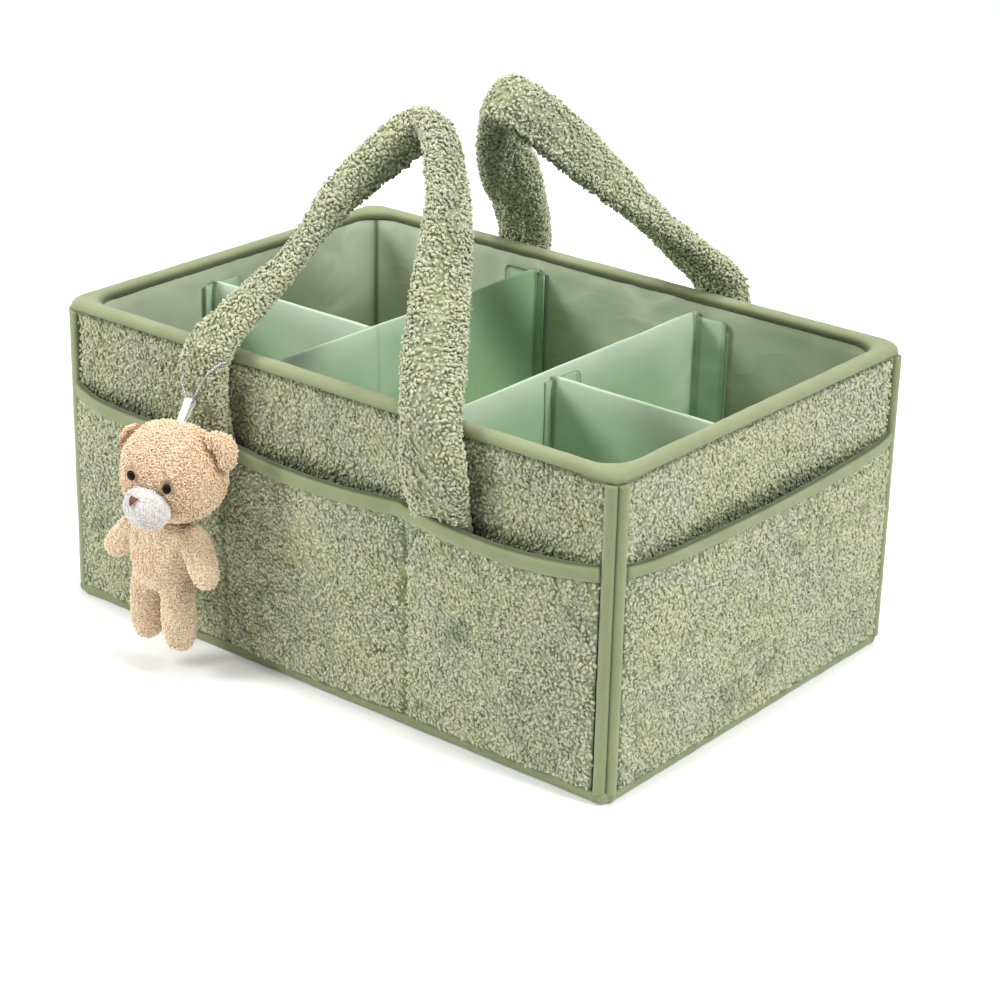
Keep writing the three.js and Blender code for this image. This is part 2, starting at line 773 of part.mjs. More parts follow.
function bearFace() {
  const skull = bearHead(clearance);
  const snout = bearMuzzle(clearance);
  const pieces = [
    piece('bear_head', bearHead(), peachPlush),
    piece('bear_muzzle', cut(bearMuzzle(), skull), whitePlush),
    piece('bear_nose', cut(bearNose(), snout), noseThread),
  ];
  const pupil = { halfWidth: eye.radius, halfDepth: eye.radius, halfHeight: eye.radius };
  for (const [side, earRight, eyeRight, eyeUp] of [
    ['left', -ear.leftOut, -eye.out, eye.leftUp],
    ['right', ear.rightOut, eye.out, eye.rightUp],
  ]) {
    const lobe = placed(egg(ear, { trim: true }), onFace(earRight, 0, ear.up), faceTurn);
    const ball = placed(egg(pupil, { trim: true }), onFace(eyeRight, faceDepth(eyeRight, eyeUp), eyeUp));
    pieces.push(piece(`bear_${side}_ear`, cut(lobe, skull), peachPlush));
    pieces.push(piece(`bear_${side}_eye`, cut(ball, skull, snout), eyeGloss));
  }
  return pieces;
}

function bearNose() {
  const spent = (nose.aside / muzzle.halfWidth) ** 2 + (nose.up / muzzle.halfHeight) ** 2;
  const ahead = muzzle.ahead + muzzle.halfDepth * Math.sqrt(1 - spent);
  const place = onFace(muzzle.aside + nose.aside, ahead, nose.up - muzzle.down);
  return placed(egg(nose, { trim: true }), place, faceTurn);
}

function bearTorso() {
  const skull = bearHead(clearance);
  const trunk = bearBody(clearance);
  const limb = { topShare: limbRootShare, roundness: limbRoundness };
  const pieces = [piece('bear_body', cut(bearBody(), skull), peachPlush)];
  for (const [side, armRight, splay, legRight] of [
    ['left', -arm.leftOut, leftArmSplay, -leg.out],
    ['right', arm.rightOut, rightArmSplay, leg.out],
  ]) {
    const sign = Math.sign(legRight);
    const shoulder = new THREE.Vector3(armRight - body.left, 0, -arm.down);
    const upper = placed(egg(arm, limb), shoulder, [-armForward, -sign * splay, 0]);
    const hip = new THREE.Vector3(legRight - leg.left, 0, -leg.down);
    const lower = placed(egg(leg, limb), hip, [0, -sign * legSplay, 0]);
    pieces.push(piece(`bear_${side}_arm`, cut(upper, skull, trunk), peachPlush));
    pieces.push(piece(`bear_${side}_leg`, cut(lower, trunk), peachPlush));
  }
  return pieces;
}

// The ribbon loops over the chain's lowest point, and both its ends are sewn to the head
function hangLoop(headMiddle) {
  const inner = beadRadius + ribbon.play;
  const outer = inner + ribbon.thickness;
  const foot = -Math.hypot(ribbon.below, ribbon.ahead) - head.halfDepth / 2;
  const arc = (radius) =>
    Array.from({ length: trimSteps + 1 }, (_, i) => {
      const angle = (Math.PI * i) / trimSteps;
      return [radius * Math.cos(angle), radius * Math.sin(angle)];
    });
  const section = [[outer, foot], ...arc(outer), [-outer, foot]];
  section.push([-inner, foot], ...arc(inner).reverse(), [inner, foot]);
  const band = alongX(section, -ribbon.width / 2, ribbon.width / 2);
  band.rotateX(-Math.atan2(ribbon.ahead, ribbon.below));
  const skull = placed(bearHead(clearance), headMiddle);
  return piece('hang_loop', cut(band, skull), whiteRibbon);
}

function chainAndBear() {
  const group = handleFrame(frontHandle, 0);
  const hanging = new THREE.Group();
  hanging.position.copy(chainPoint(lowestShare)).setX(-frontHandle.spread);
  const headMiddle = new THREE.Vector3(0, -head.ahead, -head.down);
  const bear = new THREE.Group();
  bear.position.copy(headMiddle);
  bear.add(...bearFace(), ...bearTorso());
  hanging.add(hangLoop(headMiddle), bear);
  return group.add(ballChain(-frontHandle.spread), hanging);
}

const group = new THREE.Group();
group.add(basePanel(), hemBinding(), rimBinding(), liningTub(), ...cornerBindings());
for (const side of sides) {
  const wallGroup = new THREE.Group();
  wallGroup.rotation.z = side.turn;
  wallGroup.add(wallPanel(side), wallBoard(side), patchPocket(side), pocketBinding(side));
  group.add(wallGroup);
}
for (const facts of dividers) {
  group.add(dividerSet(facts));
}
group.add(handleSet('front_handle', frontHandle, frontLean, 0));
group.add(handleSet('rear_handle', rearHandle, rearLean, Math.PI));
group.add(chainAndBear());

export default group;
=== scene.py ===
"""Diaper caddy: sherpa walls, bound edges, satin dividers, stuffed handles and a plush bear.

Shapes are worked out in millimetres and turned into metres when a piece is made. +Z is up, and the
front, where the bear hangs, faces -Y.
"""

import logging
import math
from dataclasses import dataclass, field, replace
from enum import Enum
from functools import cache
from typing import Callable, Iterable, Sequence

import bpy
import numpy as np
from mathutils import Matrix


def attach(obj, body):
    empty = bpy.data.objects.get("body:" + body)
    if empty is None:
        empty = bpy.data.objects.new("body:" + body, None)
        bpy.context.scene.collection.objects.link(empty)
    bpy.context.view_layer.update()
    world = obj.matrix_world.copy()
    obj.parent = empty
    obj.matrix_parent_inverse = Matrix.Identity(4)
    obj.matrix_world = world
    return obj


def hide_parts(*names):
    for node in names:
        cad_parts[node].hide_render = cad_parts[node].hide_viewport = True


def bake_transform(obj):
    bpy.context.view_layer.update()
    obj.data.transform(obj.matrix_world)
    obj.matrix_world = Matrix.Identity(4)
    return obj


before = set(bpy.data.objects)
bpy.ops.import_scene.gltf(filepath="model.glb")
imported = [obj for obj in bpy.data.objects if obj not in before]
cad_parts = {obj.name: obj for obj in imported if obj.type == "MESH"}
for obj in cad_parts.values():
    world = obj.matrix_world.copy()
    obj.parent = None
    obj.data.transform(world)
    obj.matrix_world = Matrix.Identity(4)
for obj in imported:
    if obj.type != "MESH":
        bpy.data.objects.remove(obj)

log = logging.getLogger("caddy")

Array = np.ndarray
Socket = bpy.types.NodeSocket
Pair = tuple[float, float]
Place = tuple[float, float, float]
Colour = Place
MM = 0.001
FLAT_MAP = "OFBake"  # the flat map that a pile's pattern is painted through
CORNERS = np.array([[0, 0], [1, 0], [1, 1], [0, 1]])  # of a face on the flat square
WHITE = (1.0, 1.0, 1.0)


# Numbers and noise


def srgb(*screen: int) -> Colour:
    """Turns a screen colour of 0 to 255 into the linear colour that a shader takes."""
    share = np.array(screen) / 255
    return tuple(np.where(share <= 0.04045, share / 12.92, ((share + 0.055) / 1.055) ** 2.4).tolist())


def smooth(share: Array | float) -> Array:
    """Eases a share from 0 to 1."""
    t = np.clip(share, 0.0, 1.0)
    return t * t * (3 - 2 * t)


def ramp(value: Array | float, low: float, high: float) -> Array:
    """Eases from 0 at low to 1 at high."""
    return smooth((np.asarray(value, dtype=float) - low) / (high - low))


def hump(value: Array | float, middle: float, reach: float) -> Array:
    """A soft bump of height 1 round a middle."""
    return np.exp(-(((np.asarray(value, dtype=float) - middle) / reach) ** 2))


def turns(count: int) -> Array:
    """Angles spread evenly once round."""
    return np.linspace(0, 2 * math.pi, count, endpoint=False)


def oval(turn: Array, across: float, up: float) -> tuple[Array, Array]:
    """The cosine and sine of a turn, bent towards a squarer oval as their roundness rises from 2."""
    return tuple(np.sign(v) * np.abs(v) ** (2 / n) for v, n in ((np.cos(turn), across), (np.sin(turn), up)))


def drawn(points: Array, up: float) -> Array:
    """Points with scaled heights, so that noise on them is drawn out or squeezed along Z."""
    return points * np.array([1, 1, up])


def chance(cells: Array, seed: int) -> Array:
    """A fixed number from 0 to 1 for each cell of whole numbers.

    Args:
        cells: Whole-number places, three to a row.
        seed: Picks the set of numbers.

    Returns:
        One number a row.
    """
    c = cells.astype(np.int64)
    mixed = c[..., 0] * 73856093 ^ c[..., 1] * 19349663 ^ c[..., 2] * 83492791 ^ (seed * 2654435761)
    mixed = (mixed & 0xFFFFFFFF).astype(np.uint64)
    for shift, factor in ((15, 2246822519), (13, 3266489917)):
        mixed = ((mixed ^ (mixed >> np.uint64(shift))) * np.uint64(factor)) & np.uint64(0xFFFFFFFF)
    mixed = mixed ^ (mixed >> np.uint64(16))
    return (mixed & np.uint64(0xFFFFFF)).astype(float) / 0xFFFFFF


def drift(points: Array, size: float, seed: int) -> Array:
    """Smooth noise from -1 to 1.

    Args:
        points: Places in millimetres.
        size: Width of one swell in millimetres.
        seed: Picks the noise.

    Returns:
        One value a point.
    """
    at = points / size
    low = np.floor(at).astype(np.int64)
    t = smooth(at - low)
    total = np.zeros(len(points))
    for corner in np.ndindex(2, 2, 2):
        share = np.ones(len(points))
        for axis, step in enumerate(corner):
            share *= t[:, axis] if step else 1 - t[:, axis]
        total += share * chance(low + np.array(corner), seed)
    return 2 * total - 1


def layered(points: Array, size: float, seed: int, layers: int = 3) -> Array:
    """Drift at halving sizes, added up and kept near -1 to 1."""
    total = sum(drift(points, size / 2**i, seed + 7 * i) / 2**i for i in range(layers))
    return total / (2 - 2 / 2**layers)


def uneven(skin: "Skin", big: tuple[float, Array, float], small: Pair, seeds: tuple[int, int]) -> Array:
    """A tape's or strap's unevenness at each point of its skin.

    Args:
        skin: The skin.
        big: Height of the large swells, the places that they are worked out on, and their size.
        small: Height and size of the small ones.
        seeds: Picks the two noises.

    Returns:
        Steps outwards in millimetres.
    """
    return big[0] * layered(big[1], big[2], seeds[0]) + small[0] * drift(skin.points, small[1], seeds[1])


def tufts(points: Array, size: float, seed: int) -> tuple[Array, Array]:
    """Round tufts packed side by side, as in curly pile.

    Args:
        points: Places in millimetres.
        size: Width of one tuft in millimetres.
        seed: Picks the tufts.

    Returns:
        The height in the tuft from 0 to 1, and a tone from 0 to 1 that each tuft has of its own.
    """
    at = points / size
    low = np.floor(at).astype(np.int64)
    nearest, tone = np.full(len(points), 9.0), np.zeros(len(points))
    for step in np.ndindex(3, 3, 3):
        cell = low + np.array(step) - 1
        spot = np.stack([chance(cell, seed + i) for i in range(3)], axis=1)
        gap = ((cell + 0.1 + 0.8 * spot - at) ** 2).sum(axis=1)
        nearest, tone = np.minimum(gap, nearest), np.where(gap < nearest, spot[:, 0], tone)
    return np.sqrt(np.clip(1 - nearest / 0.72, 0, 1)), tone


def softened(rows: Array, passes: int) -> Array:
    """Smooths rows of values along the first axis, with both ends held."""
    out = rows.astype(float).copy()
    for _ in range(passes):
        out[1:-1] = 0.25 * out[:-2] + 0.5 * out[1:-1] + 0.25 * out[2:]
    return out


def unit(vectors: Array) -> Array:
    """Vectors scaled to length 1."""
    return vectors / np.maximum(np.linalg.norm(vectors, axis=-1, keepdims=True), 1e-9)


def square_to(vectors: Array, axis: Array) -> Array:
    """What is left of vectors square to another at each place, scaled to length 1."""
    return unit(vectors - (vectors * axis).sum(1, keepdims=True) * axis)


def column(values: Array | float, count: int) -> Array:
    """The same value, so many times."""
    return np.full(count, values)


def spaced(path: Array, step: float, closed: bool = False) -> Array:
    """Places evenly spaced along a path.

    Args:
        path: Points or rows of values whose first three are a point.
        step: Distance between places in millimetres.
        closed: Whether the path comes back to its start.

    Returns:
        The rows at the new places.
    """
    rows = np.vstack([path, path[:1]]) if closed else path
    lengths = np.r_[0, np.cumsum(np.linalg.norm(np.diff(rows[:, :3], axis=0), axis=1))]
    at = np.linspace(0, lengths[-1], max(int(round(lengths[-1] / step)), 2) + 1)
    out = np.stack([np.interp(at, lengths, rows[:, i]) for i in range(rows.shape[1])], axis=1)
    return out[:-1] if closed else out


def threaded(points: Array, step: float) -> Array:
    """One smooth curve through points, by centripetal Catmull-Rom segments.

    Args:
        points: The points to go through.
        step: Distance between places in millimetres.

    Returns:
        Places along the curve.
    """
    ends = np.vstack([2 * points[0] - points[1], points, 2 * points[-1] - points[-2]])
    t = np.linspace(0, 1, 24, endpoint=False)[:, None]
    runs = []
    for p0, p1, p2, p3 in zip(ends, ends[1:], ends[2:], ends[3:]):
        d0, d1, d2 = (math.sqrt(max(np.linalg.norm(b - a), 1e-4)) for a, b in ((p0, p1), (p1, p2), (p2, p3)))
        m1 = ((p1 - p0) / d0 - (p2 - p0) / (d0 + d1) + (p2 - p1) / d1) * d1
        m2 = ((p2 - p1) / d1 - (p3 - p1) / (d1 + d2) + (p3 - p2) / d2) * d1
        runs.append(p1 + m1 * t + (3 * (p2 - p1) - 2 * m1 - m2) * t**2 + (2 * (p1 - p2) + m1 + m2) * t**3)
    return spaced(np.vstack([*runs, ends[-2:-1]]), step)


# Meshes


@dataclass
class Skin:
    """A mesh being shaped.

    Attributes:
        points: Places in millimetres.
        quads: Four-sided faces.
        caps: Faces with other counts of corners.
        marks: Named values kept for each point, which a finish reads.
        laid: Where each face's corners lie on a flat square, the four-sided faces first.
    """

    points: Array
    quads: Array
    caps: list[list[int]] = field(default_factory=list)
    marks: dict[str, Array] = field(default_factory=dict)
    laid: Array | None = None

    def normals(self) -> Array:
        """Outward unit normals at the points, from the four-sided faces."""
        a, b, c, d = (self.points[self.quads[:, i]] for i in range(4))
        face = np.cross(c - a, d - b)
        total = np.zeros_like(self.points)
        for i, axis in np.ndindex(4, 3):
            total[:, axis] += np.bincount(self.quads[:, i], weights=face[:, axis], minlength=len(self.points))
        return unit(total)

    def moved(self, by: Array) -> "Skin":
        """The same mesh with its points moved."""
        return Skin(self.points + by, self.quads, self.caps, dict(self.marks), self.laid)

    def swollen(self, by: Array) -> "Skin":
        """The same mesh with its points moved outwards."""
        return self.moved(self.normals() * by[:, None])

    def mark(self, **values: Array | float) -> "Skin":
        """Keeps named values for each point."""
        for name, value in values.items():
            self.marks[name] = np.broadcast_to(value, len(self.points)).astype(float)
        return self

    def as_mesh(self, name: str) -> bpy.types.Mesh:
        """A Blender mesh in metres, smooth shaded, with the marks as attributes."""
        mesh = bpy.data.meshes.new(name)
        mesh.from_pydata((self.points * MM).tolist(), [], self.quads.tolist() + self.caps)
        mesh.shade_smooth()
        for mark, values in self.marks.items():
            held = mesh.attributes.new(mark, "FLOAT", "POINT")
            held.data.foreach_set("value", values.astype(np.float32))
        if self.laid is not None:
            mesh.uv_layers.new(name=FLAT_MAP).data.foreach_set("uv", self.laid.astype(np.float32).ravel())
        return mesh

    @staticmethod
    def of_mesh(mesh: bpy.types.Mesh) -> "Skin":
        """The points and faces of a Blender mesh, in millimetres."""
        flat = np.empty(3 * len(mesh.vertices), dtype=np.float32)
        mesh.vertices.foreach_get("co", flat)
        faces = [list(p.vertices) for p in mesh.polygons]
        quads = np.array([f for f in faces if len(f) == 4], dtype=int).reshape(-1, 4)
        return Skin(flat.reshape(-1, 3).astype(float) / MM, quads, [f for f in faces if len(f) != 4])

    @staticmethod
    def of_node(name: str) -> "Skin":
        """The points and faces of a CAD node."""
        return Skin.of_mesh(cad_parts[name].data)


def grid(rows: int, columns: int, start: int = 0, wrap: bool = False, ring: bool = False) -> Array:
    """Faces of a grid of points kept row by row.

    Args:
        rows: How many rows there are.
        columns: How many points a row has.
        start: Number of the first point.
        wrap: Whether each row closes on itself.
        ring: Whether the last row meets the first.

    Returns:
        The four-sided faces.
    """
    steps = np.arange(rows if ring else rows - 1), np.arange(columns if wrap else columns - 1)
    r, c = np.meshgrid(*steps, indexing="ij")
    up, across = (r + 1) % rows * columns, (c + 1) % columns
    r = r * columns
    return np.stack([r + c, r + across, up + across, up + c], axis=-1).reshape(-1, 4) + start


def tube(rings: Array, ring: bool = False) -> Skin:
    """A skin over rings of points, closed at its ends or brought back to its start.

    Args:
        rings: Rings by points by coordinates.
        ring: Whether the last ring meets the first.

    Returns:
        The skin.
    """
    count, sides = rings.shape[:2]
    caps = [] if ring else [list(range(sides))[::-1], list(range((count - 1) * sides, count * sides))]
    return Skin(rings.reshape(-1, 3), grid(count, sides, wrap=True, ring=ring), caps)


def turned(rings: Array) -> bool:
    """Whether the rings would give normals that point inwards."""
    ring, after = rings[0], rings[1]
    return float(np.cross(ring[1] - ring[0], after[0] - ring[0]) @ (ring[0] - ring.mean(axis=0))) < 0


def outward(rings: Array, ring: bool = False) -> Skin:
    """A tube whose faces point outwards, whichever way round its rings run."""
    return tube(rings[:, ::-1] if turned(rings) else rings, ring)


def strand(path: Array, radius: float, closed: bool = False) -> Skin:
    """A round thread along a path.

    Args:
        path: Points that it goes through.
        radius: Its radius in millimetres.
        closed: Whether it comes back to its start.

    Returns:
        The skin.
    """
    heading = unit(np.roll(path, -1, 0) - np.roll(path, 1, 0) if closed else np.gradient(path, axis=0))
    upright = np.where(np.abs(heading[:, 2:]) > 0.9, [[0.0, 1.0, 0.0]], [[0.0, 0.0, 1.0]])
    aside = unit(np.cross(upright, heading))
    over, turn = np.cross(heading, aside), turns(8)[:, None]
    return tube(path[:, None] + radius * (aside[:, None] * np.cos(turn) + over[:, None] * np.sin(turn)), ring=closed)


def ball(spot: Array, half: Array, sides: int, rings: int) -> Skin:
    """A round bead, slightly flattened at its top and bottom.

    Args:
        spot: Its middle.
        half: Its half size along each axis.
        sides, rings: Points round it and from top to bottom.

    Returns:
        The bead's skin.
    """
    tilt, turn = np.linspace(math.pi - 0.12, 0.12, rings)[:, None], turns(sides)[None]
    whole = np.stack([np.sin(tilt) * np.cos(turn), np.sin(tilt) * np.sin(turn), np.cos(tilt) + 0 * turn], axis=-1)
    return tube(spot + half * whole)


def border(rows: int, columns: int) -> Array:
    """Numbers of a grid's outermost points, once round it."""
    ids = np.arange(rows * columns).reshape(rows, columns)
    return np.r_[ids[0, :-1], ids[:-1, -1], ids[-1, :0:-1], ids[:0:-1, 0]]


def shell(outside: Array, inside: Array, thin: int = 1) -> Skin:
    """A cloth with two faces and an edge all round.

    Args:
        outside: Rows by columns of the outer face, seen with rows rising and columns running right.
        inside: The same for the inner face.
        thin: Keeps one row and column in so many of the inner face.

    Returns:
        The skin.
    """
    inside = inside[::thin, ::thin]
    shape, inner_shape = outside.shape[:2], inside.shape[:2]
    count = shape[0] * shape[1]
    edge, inner = border(*shape), border(*inner_shape) + count
    caps = []
    for number, corners in enumerate(zip(inner.tolist(), np.roll(inner, -1).tolist())):
        run = [int(edge[(number * thin + step) % len(edge)]) for step in range(thin, -1, -1)]
        caps.append([*run, *corners])
    quads = np.vstack([grid(*shape), grid(*inner_shape, count)[:, ::-1]])
    return Skin(np.vstack([outside.reshape(-1, 3), inside.reshape(-1, 3)]), quads, caps)


def backed(outside: Array, depth: Array) -> Skin:
    """A slab with a worked outer face and a plain back.

    Args:
        outside: Rows by columns of the outer face.
        depth: The step from the outer face to the back.

    Returns:
        The skin.
    """
    rows, columns = outside.shape[:2]
    edge = border(rows, columns)
    behind = rows * columns + np.arange(len(edge))
    sides = np.stack([edge, behind, np.roll(behind, -1), np.roll(edge, -1)], axis=1)
    points, away = outside.reshape(-1, 3), unit(depth)
    off = points[edge] - points[edge].mean(axis=0)
    flat = points[edge] - np.outer(off @ away, away) + depth
    return Skin(np.vstack([points, flat]), np.vstack([grid(rows, columns), sides]), [behind[::-1].tolist()])


def unrolled(skin: Skin, *runs: tuple[int, int]) -> Skin:
    """Lays a skin's faces side by side on a flat square.

    Args:
        skin: The skin, whose four-sided faces start with one or two grids.
        runs: Rows and columns of faces in each grid.

    Returns:
        The skin with its faces laid.
    """
    parts = []
    for (rows, columns), (low, high) in zip(runs, ((0.0, 0.8), (0.8, 0.92))):
        cell = np.stack(np.divmod(np.arange(rows * columns), columns)[::-1], axis=1)
        at = (cell[:, None] + CORNERS) / [columns, rows]
        parts.append((at * [1, high - low] + [0, low]).reshape(-1, 2))
    floor = 0.92 if runs else 0.0
    rest = [4] * (len(skin.quads) - sum(rows * columns for rows, columns in runs)) + [len(face) for face in skin.caps]
    across = math.ceil(math.sqrt(max(len(rest), 1)))
    for number, count in enumerate(rest):
        spot = np.array([number % across, number // across]) + 0.5
        at = (spot + 0.4 * np.stack([np.cos(turns(count)), np.sin(turns(count))], axis=1)) / across
        parts.append(at * [1, 1 - floor] + [0, floor])
    return replace(skin, laid=np.vstack(parts))


def merged(skins: Iterable[Skin]) -> Skin:
    """Several skins as one mesh of separate shells, with no mark where one of them has none."""
    skins = list(skins)
    starts = np.cumsum([0, *(len(skin.points) for skin in skins)]).tolist()
    quads = np.vstack([skin.quads + start for skin, start in zip(skins, starts)])
    caps = [[i + start for i in face] for skin, start in zip(skins, starts) for face in skin.caps]
    marks = {
        name: np.concatenate([skin.marks.get(name, np.zeros(len(skin.points))) for skin in skins])
        for name in dict.fromkeys(name for skin in skins for name in skin.marks)
    }
    return Skin(np.vstack([skin.points for skin in skins]), quads, caps, marks)


def side_by_side(lower: Skin, upper: Skin, share: float) -> Skin:
    """Two laid skins as one.

    Args:
        lower, upper: The skins.
        share: How much of the flat square's height the first gets.

    Returns:
        The skin, laid like its two parts.
    """
    parts = []
    for skin, low, high in ((lower, 0.0, share), (upper, share, 1.0)):
        at = skin.laid * [1, high - low] + [0, low]
        parts.append((at[: 4 * len(skin.quads)], at[4 * len(skin.quads) :]))
    laid = np.vstack([parts[0][0], parts[1][0], parts[0][1], parts[1][1]])
    return replace(merged([lower, upper]), laid=laid)


def added(name: str, data: bpy.types.ID) -> bpy.types.Object:
    """A new object in the scene."""
    made = bpy.data.objects.new(name, data)
    bpy.context.scene.collection.objects.link(made)
    return made


def shaped_by(skin: Skin, kind: str, at_frame: int = 1, **settings: object) -> Skin:
    """Runs a Blender modifier on a skin and keeps the result.

    Args:
        skin: The skin to start from.
        kind: The modifier.
        at_frame: Frame whose shape is kept, with every frame before it stepped through.
        settings: Settings of the modifier, or of a cloth's own part of it.

    Returns:
        The shape after the modifier.
    """
    scene = bpy.context.scene
    mesh = skin.as_mesh("work")
    work = added("work", mesh)
    modifier = work.modifiers.new(kind.lower(), kind)
    if kind == "CLOTH":
        modifier.settings.effector_weights.gravity = 0.0
        modifier.point_cache.frame_start, modifier.point_cache.frame_end = 1, at_frame
    for name, value in settings.items():
        setattr(modifier.settings if kind == "CLOTH" else modifier, name, value)
    for number in range(1, at_frame + 1):
        scene.frame_set(number)
    seen = work.evaluated_get(bpy.context.evaluated_depsgraph_get())
    result = Skin.of_mesh(seen.to_mesh())
    seen.to_mesh_clear()
    scene.frame_set(1)
    bpy.data.objects.remove(work)
    bpy.data.meshes.remove(mesh)
    return result


@dataclass(frozen=True)
class Stuffing:
    """How a sewn shape swells with its filling, worked out with Blender's cloth.

    Attributes:
        pressure: Push of the filling from inside.
        stiffness: Resistance to stretching.
        cap: The most that a point may move, in millimetres.
        frames: Steps of the simulation.
    """

    pressure: float = 3.0
    stiffness: float = 15.0
    cap: float = 1.2
    frames: int = 12

    def swell(self, skin: Skin) -> Skin:
        swollen = shaped_by(
            skin, "CLOTH", self.frames, quality=6, mass=0.2, use_pressure=True, uniform_pressure_force=self.pressure,
            shrink_min=0.0, tension_stiffness=self.stiffness, compression_stiffness=self.stiffness,
            bending_stiffness=0.5,
        )
        if len(swollen.points) != len(skin.points):
            return skin
        step = swollen.points - skin.points
        length = np.linalg.norm(step, axis=1, keepdims=True)
        return skin.moved(step * self.cap * np.tanh(length / self.cap) / np.maximum(length, 1e-9))


# Shader nodes


class Loom:
    """Builds one node tree, a node at a time."""

    def __init__(self, tree: bpy.types.NodeTree) -> None:
        """Takes an empty tree."""
        self.tree = tree

    @classmethod
    def empty(cls, owner: bpy.types.Material | bpy.types.World) -> "Loom":
        """The loom of a material's or world's own tree, which is emptied first."""
        owner.use_nodes = True
        owner.node_tree.nodes.clear()
        return cls(owner.node_tree)

    def feed(self, socket: Socket, value: object) -> None:
        """Links a socket to another one, or gives it a value."""
        if isinstance(value, Socket):
            self.tree.links.new(value, socket)
        else:
            socket.default_value = (*value, 1.0)[:4] if socket.type == "RGBA" else value

    def node(self, kind: str, inputs: dict[str | int, object] | None = None, **settings: object) -> bpy.types.Node:
        """Adds a node.

        Args:
            kind: Blender's name for the node, without its ShaderNode start.
            inputs: What goes into each socket, a socket to link or a value.
            settings: Properties of the node.

        Returns:
            The node.
        """
        made = self.tree.nodes.new(f"ShaderNode{kind}")
        for name, value in settings.items():
            setattr(made, name, value)
        for name, value in (inputs or {}).items():
            self.feed(made.inputs[name], value)
        return made

    def math(self, how: str, first: object, second: object = 0.0, clamp: bool = False) -> Socket:
        """One sum on two values, and its result."""
        return self.node("Math", {0: first, 1: second}, operation=how, use_clamp=clamp).outputs[0]

    def times(self, first: object, second: object) -> Socket:
        """Two values multiplied."""
        return self.math("MULTIPLY", first, second)

    def plus(self, first: object, second: object) -> Socket:
        """Two values added."""
        return self.math("ADD", first, second)

    def less(self, first: object, second: object) -> Socket:
        """The first value less the second."""
        return self.math("SUBTRACT", first, second)

    def mix(self, share: object, first: object, second: object) -> Socket:
        """A mix of two colours by a share, and its result."""
        return self.node("Mix", {0: share, 6: first, 7: second}, data_type="RGBA").outputs[2]

    def noise(self, where: object, scale: object, detail: float = 2.0) -> Socket:
        """Noise from 0 to 1."""
        return self.node("TexNoise", {"Vector": where, "Scale": scale, "Detail": detail}).outputs["Fac"]

    def spread(self, value: object, low: float, high: float) -> Socket:
        """A value stretched so that low becomes 0 and high becomes 1, and held there."""
        return self.node("MapRange", {"Value": value, "From Min": low, "From Max": high}).outputs["Result"]


def grey(share: float) -> tuple[float, float, float, float]:
    """A grey for a colour socket that nothing has been given to yet."""
    return (share, share, share, 1)


class Effect:
    """A shader node group that several finishes share."""

    name = "effect"
    takes: dict[str, tuple[str, object]] = {}
    gives: dict[str, str] = {}

    @classmethod
    def tree(cls) -> bpy.types.NodeTree:
        """The group, which is built the first time that it is asked for."""
        if cls.name in bpy.data.node_groups:
            return bpy.data.node_groups[cls.name]
        made = bpy.data.node_groups.new(cls.name, "ShaderNodeTree")
        for name, (kind, value) in cls.takes.items():
            socket = made.interface.new_socket(name, in_out="INPUT", socket_type=f"NodeSocket{kind}")
            if value is not None:
                socket.default_value = value
        for name, kind in cls.gives.items():
            made.interface.new_socket(name, in_out="OUTPUT", socket_type=f"NodeSocket{kind}")
        start, end = (made.nodes.new(f"NodeGroup{side}") for side in ("Input", "Output"))
        for name, socket in cls.build(Loom(made), start.outputs).items():
            made.links.new(socket, end.inputs[name])
        return made

    @classmethod
    def build(cls, loom: Loom, given: bpy.types.NodeInputs) -> dict[str, Socket]:
        """Adds the group's nodes.

        Args:
            loom: The group's loom.
            given: What comes in at the group's inputs.

        Returns:
            What each of its outputs takes.
        """
        raise NotImplementedError

    @classmethod
    def place(cls, loom: Loom, **inputs: object) -> bpy.types.NodeOutputs:
        """Puts the group into a material with its own values, and returns its outputs."""
        made = loom.tree.nodes.new("ShaderNodeGroup")
        made.node_tree = cls.tree()
        for name, value in inputs.items():
            loom.feed(made.inputs[name], value)
        return made.outputs


class CurlPile(Effect):
    """Curly or brushed pile: pale tips, shaded roots, tufts of their own tone, and fine strands."""

    name = "curl_pile"
    takes = {
        "Vector": ("Vector", None), "Height": ("Float", 0.5), "Tone": ("Float", 0.5), "Tip": ("Color", grey(0.5)),
        "Middle": ("Color", grey(0.4)), "Root": ("Color", grey(0.2)), "Strands": ("Float", 900.0),
        "Contrast": ("Float", 1.0),
    }
    gives = {"Color": "Color", "Bump": "Float", "Roughness": "Float"}

    @classmethod
    def build(cls, loom: Loom, given: bpy.types.NodeInputs) -> dict[str, Socket]:
        """Height and strands choose between root, middle and tip."""
        times, plus, less, where = loom.times, loom.plus, loom.less, given["Vector"]
        strands = loom.noise(where, given["Strands"], 3.0)
        cells = {"Vector": where, "Scale": times(given["Strands"], 0.62)}
        twist = loom.node("TexVoronoi", cells).outputs["Distance"]
        lift = times(less(strands, 0.5), 0.75)
        lift = plus(lift, times(less(0.45, twist), 0.5))
        own = times(less(given["Tone"], 0.5), 0.35)
        level = plus(given["Height"], times(given["Contrast"], plus(lift, own)))
        low = loom.mix(loom.spread(level, 0.0, 0.5), given["Root"], given["Middle"])
        high = loom.mix(loom.spread(level, 0.45, 1.15), low, given["Tip"])
        bump = plus(times(strands, 0.6), times(less(1.0, twist), 0.6))
        return {"Color": high, "Bump": bump, "Roughness": less(1.0, times(strands, 0.12))}


